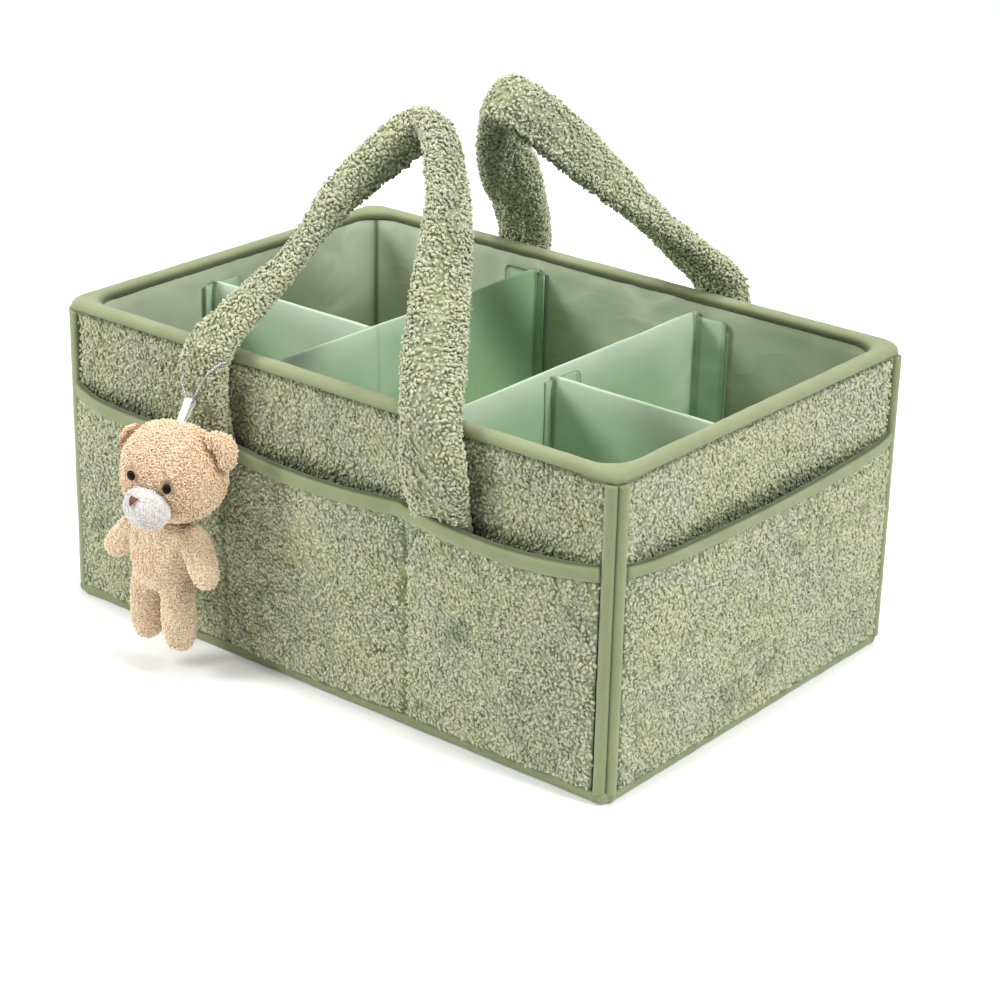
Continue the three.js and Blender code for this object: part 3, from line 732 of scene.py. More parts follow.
class Weave(Effect):
    """Crossed threads along the walls, with slubs, for tape, satin and ribbon."""

    name = "weave"
    takes = {"Vector": ("Vector", None), "Threads": ("Float", 2500.0), "Slub": ("Float", 0.4)}
    gives = {"Mask": "Float", "Bump": "Float"}

    @classmethod
    def build(cls, loom: Loom, given: bpy.types.NodeInputs) -> dict[str, Socket]:
        """One thread runs up, and the other along X or Y, whichever way the wall runs."""
        times, threads = loom.times, given["Threads"]
        axes = loom.node("SeparateXYZ", {0: given["Vector"]}).outputs
        along = loom.plus(axes[0], axes[1])
        warp = loom.math("SINE", times(along, threads))
        weft = loom.math("SINE", times(axes[2], threads))
        crossed = times(warp, weft)
        slubs = loom.noise(given["Vector"], times(threads, 0.12), 2.0)
        mask = loom.plus(times(crossed, 0.5), 0.5)
        total = loom.math("ADD", mask, times(loom.less(slubs, 0.5), given["Slub"]), clamp=True)
        return {"Mask": total, "Bump": loom.plus(mask, times(slubs, 1.2))}


class Patches(Effect):
    """Slow changes of colour over a cloth, as where the pile lies another way or was handled."""

    name = "patches"
    takes = {
        "Vector": ("Vector", None), "Colour": ("Color", grey(0.5)), "Other": ("Color", grey(0.4)),
        "Size": ("Float", 0.05), "Amount": ("Float", 0.5),
    }
    gives = {"Color": "Color", "Mask": "Float"}

    @classmethod
    def build(cls, loom: Loom, given: bpy.types.NodeInputs) -> dict[str, Socket]:
        """Noise of the given size mixes in the other colour."""
        cloud = loom.noise(given["Vector"], loom.math("DIVIDE", 1.0, given["Size"]), 4.0)
        mask = loom.times(loom.spread(cloud, 0.38, 0.66), given["Amount"])
        return {"Color": loom.mix(mask, given["Colour"], given["Other"]), "Mask": mask}


class Streaks(Effect):
    """Pale lines and glints along the small wrinkles of a satin."""

    name = "streaks"
    takes = {"Vector": ("Vector", None), "Size": ("Float", 0.05)}
    gives = {"Mask": "Float", "Bump": "Float"}

    @classmethod
    def build(cls, loom: Loom, given: bpy.types.NodeInputs) -> dict[str, Socket]:
        """The ridges of a drawn-out noise, shown only here and there."""
        long = loom.node("VectorMath", {0: given["Vector"], 1: (0.8, 0.8, 1.7)}, operation="MULTIPLY").outputs[0]
        wrinkled = {
            "Vector": long, "Scale": loom.math("DIVIDE", 1.0, given["Size"]), "Detail": 1.5, "Distortion": 0.9,
        }
        noise = loom.node("TexNoise", wrinkled).outputs["Fac"]
        ridge = loom.less(1.0, loom.math("ABSOLUTE", loom.times(loom.less(noise, 0.5), 5.0)))
        where = loom.noise(given["Vector"], loom.math("DIVIDE", 0.7, given["Size"]), 1.0)
        shown = loom.spread(where, 0.42, 0.62)
        return {"Mask": loom.times(loom.spread(ridge, 0.25, 1.0), shown), "Bump": ridge}


class Worn(Effect):
    """Paler and darker colour from a piece's own marks: most pale marks are painted light and painted reflections, and
    the dark marks are seams and painted shade.
    """

    name = "worn"
    takes = {
        "Colour": ("Color", grey(0.5)), "Edge": ("Float", 0.0), "Seam": ("Float", 0.0),
        "Pale": ("Color", grey(0.7)), "Dark": ("Color", grey(0.1)),
    }
    gives = {"Color": "Color"}

    @classmethod
    def build(cls, loom: Loom, given: bpy.types.NodeInputs) -> dict[str, Socket]:
        """The dark mark lies over the pale one."""
        rubbed = loom.mix(given["Edge"], given["Colour"], given["Pale"])
        return {"Color": loom.mix(given["Seam"], rubbed, given["Dark"])}


# Finishes


@dataclass(frozen=True, kw_only=True)
class Finish:
    """What every finish has.

    Attributes:
        name: Name of the material.
        slot: Not used.
        other: What its colour drifts to in patches.
        depth: Depth of the fine bump in metres.
        specular: Strength of its shine.
    """

    name: str
    slot: str
    other: Colour
    depth: float
    specular: float

    def painted(
        self, colour: Colour, size: float, amount: float
    ) -> tuple[bpy.types.Material, Loom, bpy.types.Node, Socket, bpy.types.NodeOutputs]:
        """Starts the material with its patches of colour.

        Args:
            colour: Its main colour.
            size: Size of the patches in metres.
            amount: How far the colour drifts.

        Returns:
            The material, its loom, its Principled shader, places that move with the piece, and the patches.
        """
        made = bpy.data.materials.new(self.name)
        loom = Loom.empty(made)
        shader = loom.node("BsdfPrincipled")
        loom.node("OutputMaterial", {"Surface": shader.outputs[0]})
        where = loom.node("TexCoord").outputs["Object"]
        tone = Patches.place(loom, Vector=where, Colour=colour, Other=self.other, Size=size, Amount=amount)
        return made, loom, shader, where, tone

    def coated(
        self, loom: Loom, shader: bpy.types.Node, colour: Socket, rough: Socket,
        height: Socket, **constants: float,
    ) -> None:
        """Feeds the shader.

        Args:
            loom: The material's loom.
            shader: The shader.
            colour, rough, height: Its colour, its roughness and the height of its bump.
            constants: Values of its other sockets, with _ for a space.
        """
        loom.feed(shader.inputs["Base Color"], colour)
        loom.feed(shader.inputs["Roughness"], rough)
        shader.inputs["Specular IOR Level"].default_value = self.specular
        for name, value in constants.items():
            shader.inputs[name.replace("_", " ")].default_value = value
        bump = loom.node("Bump", {"Height": height, "Distance": self.depth, "Strength": 1.0})
        loom.feed(shader.inputs["Normal"], bump.outputs[0])


def marked(loom: Loom, name: str) -> Socket:
    """A value that the mesh keeps for each point."""
    return loom.node("Attribute", attribute_type="GEOMETRY", attribute_name=name).outputs["Fac"]


def between(loom: Loom, share: Socket, ends: Pair) -> Socket:
    """A value that goes from one end to the other by a share."""
    return loom.node("MapRange", {"Value": share, "To Min": ends[0], "To Max": ends[1]}).outputs["Result"]


@dataclass(frozen=True, kw_only=True)
class Pile(Finish):
    """Sherpa or plush.

    Attributes:
        tip, middle, root: Colours from the pile's ends to its roots; the dark root colour is painted shade deep in the
            pile.
        patch: Size of the patches in metres.
        strands: How fine the strands are.
        contrast: How much the strands change the colour.
    """

    tip: Colour
    middle: Colour
    root: Colour
    patch: float = 0.03
    strands: float = 2300.0
    contrast: float = 1.0
    depth: float = 0.0002
    specular: float = 0.2

    def material(self) -> bpy.types.Material:
        """Builds the material."""
        made, loom, shader, where, tone = self.painted(self.middle, self.patch, 0.7)
        pile = CurlPile.place(
            loom, Vector=where, Height=marked(loom, "pile"), Tone=marked(loom, "tone"), Tip=self.tip,
            Middle=tone["Color"], Root=self.root, Strands=self.strands, Contrast=self.contrast,
        )
        self.coated(
            loom, shader, pile["Color"], pile["Roughness"], pile["Bump"], Sheen_Weight=0.25, Sheen_Roughness=0.6
        )
        return made


@dataclass(frozen=True, kw_only=True)
class Cloth(Finish):
    """A flat woven cloth: tape, satin or ribbon.

    Attributes:
        colour: The cloth's colour.
        pale, dark: The pale colour of the threads and of the pale marks, most of them painted light and painted
            reflections; the dark colour of seams and of painted shade.
        rough: Lowest and highest roughness.
        sheen: Strength of the sheen.
        threads: How fine the threads are.
        patch: Size of the patches in metres.
        amount: How far the colour drifts.
        streak: How pale the glints along its wrinkles are, 0 for none.
        streak_size: Size of those wrinkles in metres.
    """

    colour: Colour
    pale: Colour
    dark: Colour
    rough: Pair
    sheen: float = 0.2
    threads: float = 9000.0
    patch: float = 0.02
    amount: float = 0.6
    specular: float = 0.3
    streak: float = 0.0
    streak_size: float = 0.05

    def material(self) -> bpy.types.Material:
        """Builds the material."""
        made, loom, shader, where, tone = self.painted(self.colour, self.patch, self.amount)
        weave = Weave.place(loom, Vector=where, Threads=self.threads)
        threads = loom.mix(loom.times(weave["Mask"], 0.2), tone["Color"], self.pale)
        height = weave["Bump"]
        if self.streak:
            wrinkles = Streaks.place(loom, Vector=where, Size=self.streak_size)
            threads = loom.mix(loom.times(wrinkles["Mask"], self.streak), threads, self.pale)
            height = loom.plus(height, loom.times(wrinkles["Bump"], 6.0))
        worn = Worn.place(
            loom, Colour=threads, Edge=marked(loom, "edge"), Seam=marked(loom, "seam"), Pale=self.pale,
            Dark=self.dark,
        )
        rough = between(loom, tone["Mask"], self.rough)
        self.coated(loom, shader, worn["Color"], rough, height, Sheen_Weight=self.sheen, Sheen_Roughness=0.5)
        return made


@dataclass(frozen=True, kw_only=True)
class Hard(Finish):
    """A hard or pressed finish: polished chain, eye, or grey board.

    Attributes:
        colour: Its colour.
        rough: Lowest and highest roughness.
        metal: 1 for metal.
    """

    colour: Colour
    rough: Pair
    metal: float = 0.0
    specular: float = 0.5

    def material(self) -> bpy.types.Material:
        """Builds the material."""
        made, loom, shader, where, tone = self.painted(self.colour, 0.01, 0.8)
        rough = between(loom, tone["Mask"], self.rough)
        self.coated(loom, shader, tone["Color"], rough, loom.noise(where, 400.0, 3.0), Metallic=self.metal)
        return made


SHERPA = Pile(
    name="sherpa_sage", slot="sherpa",
    tip=srgb(220, 223, 190), middle=srgb(173, 179, 138), root=srgb(80, 87, 52), other=srgb(158, 163, 144),
    strands=1900.0, contrast=0.9, depth=0.0003,
)
PEACH = Pile(
    name="plush_peach", slot="peach_plush",
    tip=srgb(253, 236, 210), middle=srgb(238, 205, 166), root=srgb(166, 114, 70), other=srgb(232, 196, 154),
    patch=0.012, contrast=0.6,
)
WHITE_PLUSH = Pile(
    name="plush_white", slot="white_plush",
    tip=srgb(238, 234, 231), middle=srgb(220, 214, 210), root=srgb(178, 170, 162), other=srgb(216, 210, 208),
    patch=0.01, contrast=0.5,
)
TAPE = Cloth(
    name="binding_tape", slot="binding",
    colour=srgb(139, 148, 107), other=srgb(126, 135, 95), pale=srgb(174, 181, 142), dark=srgb(56, 63, 34),
    rough=(0.78, 0.95), sheen=0.3, threads=7000.0, depth=0.00012,
)
# The lining's paler patches, its pale colour and its streaks are painted reflections of the satin's sheen.
LINING = Cloth(
    name="satin_lining", slot="satin_lining",
    colour=srgb(144, 161, 122), other=srgb(168, 181, 146), pale=srgb(214, 221, 200), dark=srgb(58, 72, 44),
    rough=(0.36, 0.46), sheen=0.15, threads=14000.0, patch=0.035, depth=0.00005, amount=0.9, specular=0.5,
    streak=0.75, streak_size=0.045,
)
# The divider satin's pale colour and its streaks are painted reflections of its sheen.
SATIN = Cloth(
    name="satin_divider", slot="divider_satin",
    colour=srgb(143, 185, 133), other=srgb(154, 193, 145), pale=srgb(222, 232, 216), dark=srgb(76, 112, 68),
    rough=(0.36, 0.48), sheen=0.15, threads=14000.0, patch=0.04, depth=0.00004, amount=0.8, specular=0.5,
    streak=0.35, streak_size=0.07,
)
LOOP_TAPE = Cloth(
    name="loop_tape", slot="loop_tape",
    colour=srgb(186, 202, 184), other=srgb(170, 188, 168), pale=srgb(206, 216, 204), dark=srgb(120, 140, 118),
    rough=(0.9, 1.0), threads=3500.0, depth=0.0004,
)
RIBBON = Cloth(
    name="ribbon_white", slot="white_ribbon",
    colour=srgb(236, 235, 230), other=srgb(226, 224, 218), pale=srgb(248, 248, 246), dark=srgb(180, 178, 170),
    rough=(0.45, 0.6), depth=0.0001,
)
THREAD = Cloth(
    name="nose_thread", slot="nose_thread",
    colour=srgb(124, 64, 40), other=srgb(100, 50, 30), pale=srgb(160, 98, 68), dark=srgb(60, 28, 18),
    rough=(0.5, 0.7), threads=8000.0, patch=0.002, depth=0.0003,
)
EYE = Hard(
    name="eye_black", slot="eye_gloss", colour=srgb(6, 5, 5), other=srgb(12, 9, 8), rough=(0.1, 0.2),
    depth=0.000001, specular=0.12,
)
CHAIN_METAL = Hard(
    name="chain_silver", slot="silver_chain", colour=srgb(172, 173, 175), other=srgb(140, 141, 145),
    rough=(0.2, 0.35), metal=1.0, depth=0.000005,
)
BOARD = Hard(
    name="grey_board", slot="stiff_board", colour=srgb(198, 192, 176), other=srgb(182, 175, 158),
    rough=(0.75, 0.95), depth=0.0001,
)


@cache
def finish_material(finish: Finish) -> bpy.types.Material:
    """The finish's material, built once."""
    return finish.material()


def make_piece(name: str, skin: Skin, finish: Finish) -> bpy.types.Object:
    """Makes an object of a skin, with its finish's material.

    Args:
        name: Name of the piece.
        skin: Its shape.
        finish: Its finish.

    Returns:
        The object, which doesn't ride on anything yet.
    """
    made = added(name, skin.as_mesh(name))
    made.data.materials.append(finish_material(finish))
    log.info("%s: %d points", name, len(skin.points))
    return made


def dress_node(name: str, finish: Finish) -> None:
    """Gives a CAD node that stays its finish."""
    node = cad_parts[name]
    node.data.materials.clear()
    node.data.materials.append(finish_material(finish))


def with_pile(
    skin: Skin, height: float, size: float, seed: int, lift: float = 0.0, mask: Array | float = 1.0,
    shown: float = 1.0,
) -> Skin:
    """Raises pile on a skin, and marks it for the finish.

    Args:
        skin: The cloth under the pile.
        height: Height of the tallest tufts in millimetres.
        size: Width of a tuft in millimetres.
        seed: Picks the tufts.
        lift: Step outwards of the whole surface first, in millimetres.
        mask: Share of the pile's height at each point.
        shown: How much of the pile's paleness is kept, below 1 where curls lie over it as painted shade under them.

    Returns:
        The skin with its pile.
    """
    sway = np.stack([drift(skin.points, 1.6 * size, seed + 40 + i) for i in range(3)], axis=1)
    at = skin.points + 0.5 * size * sway
    (big, tone), (small, own) = tufts(at, size, seed), tufts(at, 0.6 * size, seed + 11)
    level = 0.68 * big + 0.32 * small
    swell = 0.5 + 0.5 * drift(skin.points, 4 * size, seed + 23)
    raised = skin.swollen(height * (0.85 * level + 0.15 * swell) * mask + lift)
    # Paler on the tufts' tops and darker between them: painted shade in the hollows of the pile.
    deep = np.clip(0.8 * level**1.4 + 0.2 * swell, 0, 1)
    return raised.mark(pile=deep * shown, tone=0.5 * tone + 0.5 * own)


@dataclass(frozen=True)
class Curls:
    """Short curls of pile, set closely over the face of a cloth.

    Attributes:
        up, across: Distance from curl to curl along the face's rows of points and across them.
        long, wide, tall: Half sizes of a curl.
        above: How far a curl's middle lies off the cloth.
        ragged: How much that differs from curl to curl.
        sway: The most that a curl turns from straight up, in degrees.
        lean: The most that its lean out of the cloth differs from the usual one, in degrees.
        stand: The usual lean, in degrees.
        low: How pale a curl's underside is, from 0 to 1; the darker underside is painted shade.
        sides: Sides of a curl.
    """

    up: float = 2.45
    across: float = 1.95
    long: float = 1.6
    wide: float = 0.95
    tall: float = 1.0
    above: float = 0.15
    ragged: float = 0.9
    sway: float = 70.0
    lean: float = 34.0
    stand: float = 0.0
    low: float = 0.4
    sides: int = 4

    def over(
        self, face: Array, seed: int, wrap: bool = False, keep: Array | None = None, shade: Array | None = None
    ) -> Skin:
        """Sets curls over a face.

        Args:
            face: Rows by columns of points of the cloth, turned as in a grid's faces.
            seed: Picks the curls.
            wrap: Whether each row closes on itself.
            keep: Chance at each point of the face that a curl grows there.
            shade: How pale the curls are at each point of the face, 1 for as usual.

        Returns:
            The curls, each a closed shell, marked and laid.
        """
        rows, columns = face.shape[:2]
        ring = np.concatenate([face, face[:, :1]], axis=1) if wrap else face
        tall = np.linalg.norm(np.diff(face, axis=0), axis=2).mean(axis=1).sum()
        wide = np.linalg.norm(np.diff(ring, axis=1), axis=2).mean(axis=0).sum()
        many_up, many_across = int(round(tall / self.up)), int(round(wide / self.across))
        i, j = (n.ravel() for n in np.meshgrid(np.arange(many_up), np.arange(many_across), indexing="ij"))
        own = self.chances(i, j, seed)
        r = np.clip((i + 0.5 + 0.8 * (own[0] - 0.5)) / many_up, 0, 1) * (rows - 1)
        c = (j + 0.25 + 0.5 * (i % 2) + 0.8 * (own[1] - 0.5)) / many_across
        c = (c % 1.0) * columns if wrap else np.clip(c, 0, 1) * (columns - 1)

        def found(values: Array, up: float = 0.0, aside: float = 0.0) -> Array:
            """The values of the face at the curls, or a step up or aside from them."""
            return self.sampled(values, r + up, c + aside, wrap)

        rise = found(face, up=0.6) - found(face, up=-0.6)
        run = found(face, aside=0.6) - found(face, aside=-0.6)
        out = unit(np.cross(run, rise))
        grown = np.ones(len(r), dtype=bool) if keep is None else found(keep[..., None])[:, 0] > own[7]
        pale = np.ones(len(r)) if shade is None else found(shade[..., None])[:, 0]
        return self.grown(found(face)[grown], out[grown], square_to(rise, out)[grown], own[:, grown], pale[grown])

    def on(self, skin: Skin, seed: int, swirl: float, shade: Array) -> Skin:
        """Sets one curl on each four-sided face of a skin, combed down in slow swirls.

        Args:
            skin: The cloth under the curls.
            seed: Picks the curls.
            swirl: Size of a swirl in millimetres.
            shade: How pale the curls are at each of the skin's points, and below 0 where none grow.

        Returns:
            The curls.
        """
        corners = skin.points[skin.quads]
        at = corners.mean(axis=1)
        out = unit(np.cross(corners[:, 2] - corners[:, 0], corners[:, 3] - corners[:, 1]))
        number = np.arange(len(at))
        own = self.chances(number, 0 * number, seed)
        flow = np.stack([drift(at, swirl, seed + 30 + i) for i in range(3)], axis=1) + [0, 0, -0.35]
        ahead = square_to(flow, out)
        at = at + 1.3 * (own[0] - 0.5)[:, None] * ahead + 1.3 * (own[1] - 0.5)[:, None] * np.cross(ahead, out)
        pale = shade[skin.quads].min(axis=1)
        grows = pale >= 0
        return self.grown(at[grows], out[grows], ahead[grows], own[:, grows], pale[grows])

    def grown(self, at: Array, out: Array, rise: Array, own: Array, shade: Array) -> Skin:
        """Curls at given places.

        Args:
            at: The places on the cloth.
            out, rise: The way out of the cloth and the way that a curl lies, at each place.
            own: Eight rows of chances from 0 to 1, one for each place.
            shade: How pale each curl is.

        Returns:
            The curls.
        """
        run = np.cross(rise, out)
        turn = np.radians(self.sway) * (2 * own[2] - 1)
        tilt = np.radians(self.stand + self.lean * (2 * own[3] - 1))
        ahead = rise * np.cos(turn)[:, None] + run * np.sin(turn)[:, None]
        aside = np.cross(out, ahead)
        along = ahead * np.cos(tilt)[:, None] + out * np.sin(tilt)[:, None]
        size = (0.72 + 0.56 * own[4])[:, None, None]
        x, y, z = self.shape().T
        steps = (self.long * x, along), (self.wide * y, aside), (self.tall * (z - 0.4 * x**2), np.cross(along, aside))
        middle = at + out * (self.above + self.ragged * (own[5] - 0.5))[:, None]
        points = middle[:, None] + size * sum(way[:, None] * step[None, :, None] for step, way in steps)
        height = np.broadcast_to(np.clip(0.5 + 0.5 * z - 0.12 * x**2, 0, 1), points.shape[:2])
        pale = (self.low + (1 - self.low) * height) * shade[:, None]
        return self.bundled(points, pale.ravel(), np.repeat(own[6], len(x)))

    @staticmethod
    def chances(row: Array, place: Array, seed: int) -> Array:
        """Eight rows of chances from 0 to 1, one for each curl, which a row and a place in it name."""
        return np.stack([chance(np.stack([row, place, np.full_like(row, k)], axis=1), seed) for k in range(8)])

    @staticmethod
    def sampled(face: Array, r: Array, c: Array, wrap: bool) -> Array:
        """The face's values between its points.

        Args:
            face: Rows by columns of values.
            r, c: The rows and columns, which needn't be whole.
            wrap: Whether each row closes on itself.

        Returns:
            The values.
        """
        rows, columns = face.shape[:2]
        r = np.clip(r, 0, rows - 1)
        c = c % columns if wrap else np.clip(c, 0, columns - 1)
        r0 = np.minimum(r.astype(int), rows - 2)
        c0 = c.astype(int) if wrap else np.minimum(c.astype(int), columns - 2)
        c1, tr, tc = (c0 + 1) % columns, (r - r0)[:, None], (c - c0)[:, None]
        low, high = (face[row, c0] * (1 - tc) + face[row, c1] * tc for row in (r0, r0 + 1))
        return low * (1 - tr) + high * tr

    def shape(self) -> Array:
        """One curl of half size 1: rings of points along X, with Z out of the cloth."""
        turn = turns(self.sides) + math.pi / 2
        rings = ((-0.86, 0.56), (0.0, 1.0), (0.86, 0.56))
        return np.vstack([np.stack([column(x, self.sides), w * np.cos(turn), w * np.sin(turn)], 1) for x, w in rings])

    def bundled(self, points: Array, pale: Array, tone: Array) -> Skin:
        """The curls as one skin, each laid in a small square of its own.

        Args:
            points: Curls by points by coordinates.
            pale, tone: How pale each point is, and its tone.

        Returns:
            The skin.
        """
        count, each = points.shape[:2]
        start = each * np.arange(count)[:, None, None]
        quads = (grid(3, self.sides, wrap=True) + start).reshape(-1, 4)
        ends = np.array([list(range(self.sides))[::-1], list(range(2 * self.sides, 3 * self.sides))])
        caps = (ends + start).reshape(-1, self.sides).tolist()
        across = math.ceil(math.sqrt(count))
        cell = np.stack([np.arange(count) % across, np.arange(count) // across], axis=1)
        row, place = np.divmod(np.arange(2 * self.sides), self.sides)
        body = (np.stack([place, row], 1)[:, None] + CORNERS) / [self.sides, 2] * [0.9, 0.52] + [0.05, 0.05]
        disc = 0.15 * np.stack([np.cos(turns(self.sides)), np.sin(turns(self.sides))], axis=1)
        tips = np.stack([disc + [0.25, 0.8], disc + [0.75, 0.8]])
        laid = [((cell[:, None, None] + part) / across).reshape(-1, 2) for part in (body, tips)]
        return Skin(points.reshape(-1, 3), quads, caps, {}, np.vstack(laid)).mark(pile=pale, tone=tone)


WALL_CURLS = Curls()
HANDLE_CURLS = Curls(up=2.05, across=1.9, wide=0.86, tall=0.95, above=0.55, ragged=1.5, sway=90.0, lean=58.0, low=0.44)
HEAD_CURLS = Curls(long=1.15, wide=0.44, tall=0.44, above=0.5, sway=80.0, stand=30.0, low=0.5)
# Paler curls for the trunk and the left ear: painted light against the shade that they lie in.
BODY_CURLS = replace(HEAD_CURLS, low=0.95)
MUZZLE_CURLS = Curls(long=1.3, wide=0.3, tall=0.26, above=0.1, ragged=0.3, sway=22.0, lean=7.0, stand=6.0, low=0.82)


def crevices(points: Array, size: float, seed: int) -> Array:
    """Painted shade in short clefts where tufts part, 1 in a cleft, in patches over the cloth."""
    cleft = 1 - ramp(np.abs(drift(drawn(points, 0.75), size, seed)), 0.0, 0.22)
    return cleft * ramp(drift(points, 5 * size, seed + 1), -0.25, 0.45)


# The basket


class Side(Enum):
    """The four walls, each with its turn from the front in quarter turns."""

    FRONT = 0
    RIGHT = 1
    BACK = 2
    LEFT = 3

    @property
    def label(self) -> str:
        """The wall's name in node names."""
        return self.name.lower()

    @property
    def long(self) -> bool:
        """Whether it is one of the two long walls."""
        return self.value % 2 == 0

    def place(self, along: Array, out: Array, up: Array) -> Array:
        """Turns wall places into places of the object.

        Args:
            along: Distance to the right, seen from outside.
            out: Distance outwards from the object's middle.
            up: Height.

        Returns:
            Points in millimetres.
        """
        turn = math.pi / 2 * self.value
        cos, sin = round(math.cos(turn)), round(math.sin(turn))
        along, out, up = np.broadcast_arrays(along, out, up)
        return np.stack([along * cos + out * sin, along * sin - out * cos, up], axis=-1)


@dataclass
class Outline:
    """The basket's plan, and paths round it.

    Attributes:
        half_length, half_width: Half the basket's size in plan.
        corner: Radius of the outside corners.
        inner_corner: How much rounder a corner gets for each millimetre of inset.
    """

    half_length: float = 190.0
    half_width: float = 127.0
    corner: float = 6.0
    inner_corner: float = 1.3

    def reach(self, side: Side) -> float:
        """Distance from the middle to the outline at a wall."""
        return self.half_width if side.long else self.half_length

    def run(self, side: Side) -> float:
        """Half the length of a wall."""
        return self.half_length if side.long else self.half_width

    def bend(self, inset: float) -> Place:
        """A corner's radius at an inset, and how far along X and Y its middle lies."""
        radius = self.corner + self.inner_corner * inset
        return radius, self.half_length - inset - radius, self.half_width - inset - radius

    def path(self, inset: float, step: float = 2.0) -> Array:
        """Once round the plan at an inset, with a place at each end of every corner.

        Args:
            inset: Distance inwards from the outline.
            step: Rough distance between places.

        Returns:
            Points of the plan, anticlockwise. Every inset gives as many.
        """
        radius, x, y = self.bend(inset)
        arcs = []
        for number, (sx, sy) in enumerate(((1, 1), (-1, 1), (-1, -1), (1, -1))):
            turn = np.linspace(0, math.pi / 2, 13) + number * math.pi / 2
            arcs.append(np.stack([sx * x + radius * np.cos(turn), sy * y + radius * np.sin(turn)], 1))
        out = []
        for number, arc in enumerate(arcs):
            after = arcs[(number + 1) % 4][0]
            count = int(2 * self.run(Side(number)) / step)
            out += [arc, arc[-1] + (after - arc[-1]) * np.linspace(0, 1, count, endpoint=False)[1:, None]]
        return np.vstack(out)

    def level(self, inset: float, up: float, step: float = 2.0, share: float = 1.0) -> Array:
        """The path at an inset and a height, drawn in towards the middle by a share."""
        plan = self.path(inset, step) * share
        return np.c_[plan, column(up, len(plan))]

    def swept(self, section: Sequence[Pair], step: float = 2.0) -> Array:
        """Rings of a section of insets and heights, taken once round the plan."""
        return np.stack([self.level(inset, up, step) for inset, up in section], axis=1)


OUTLINE = Outline()


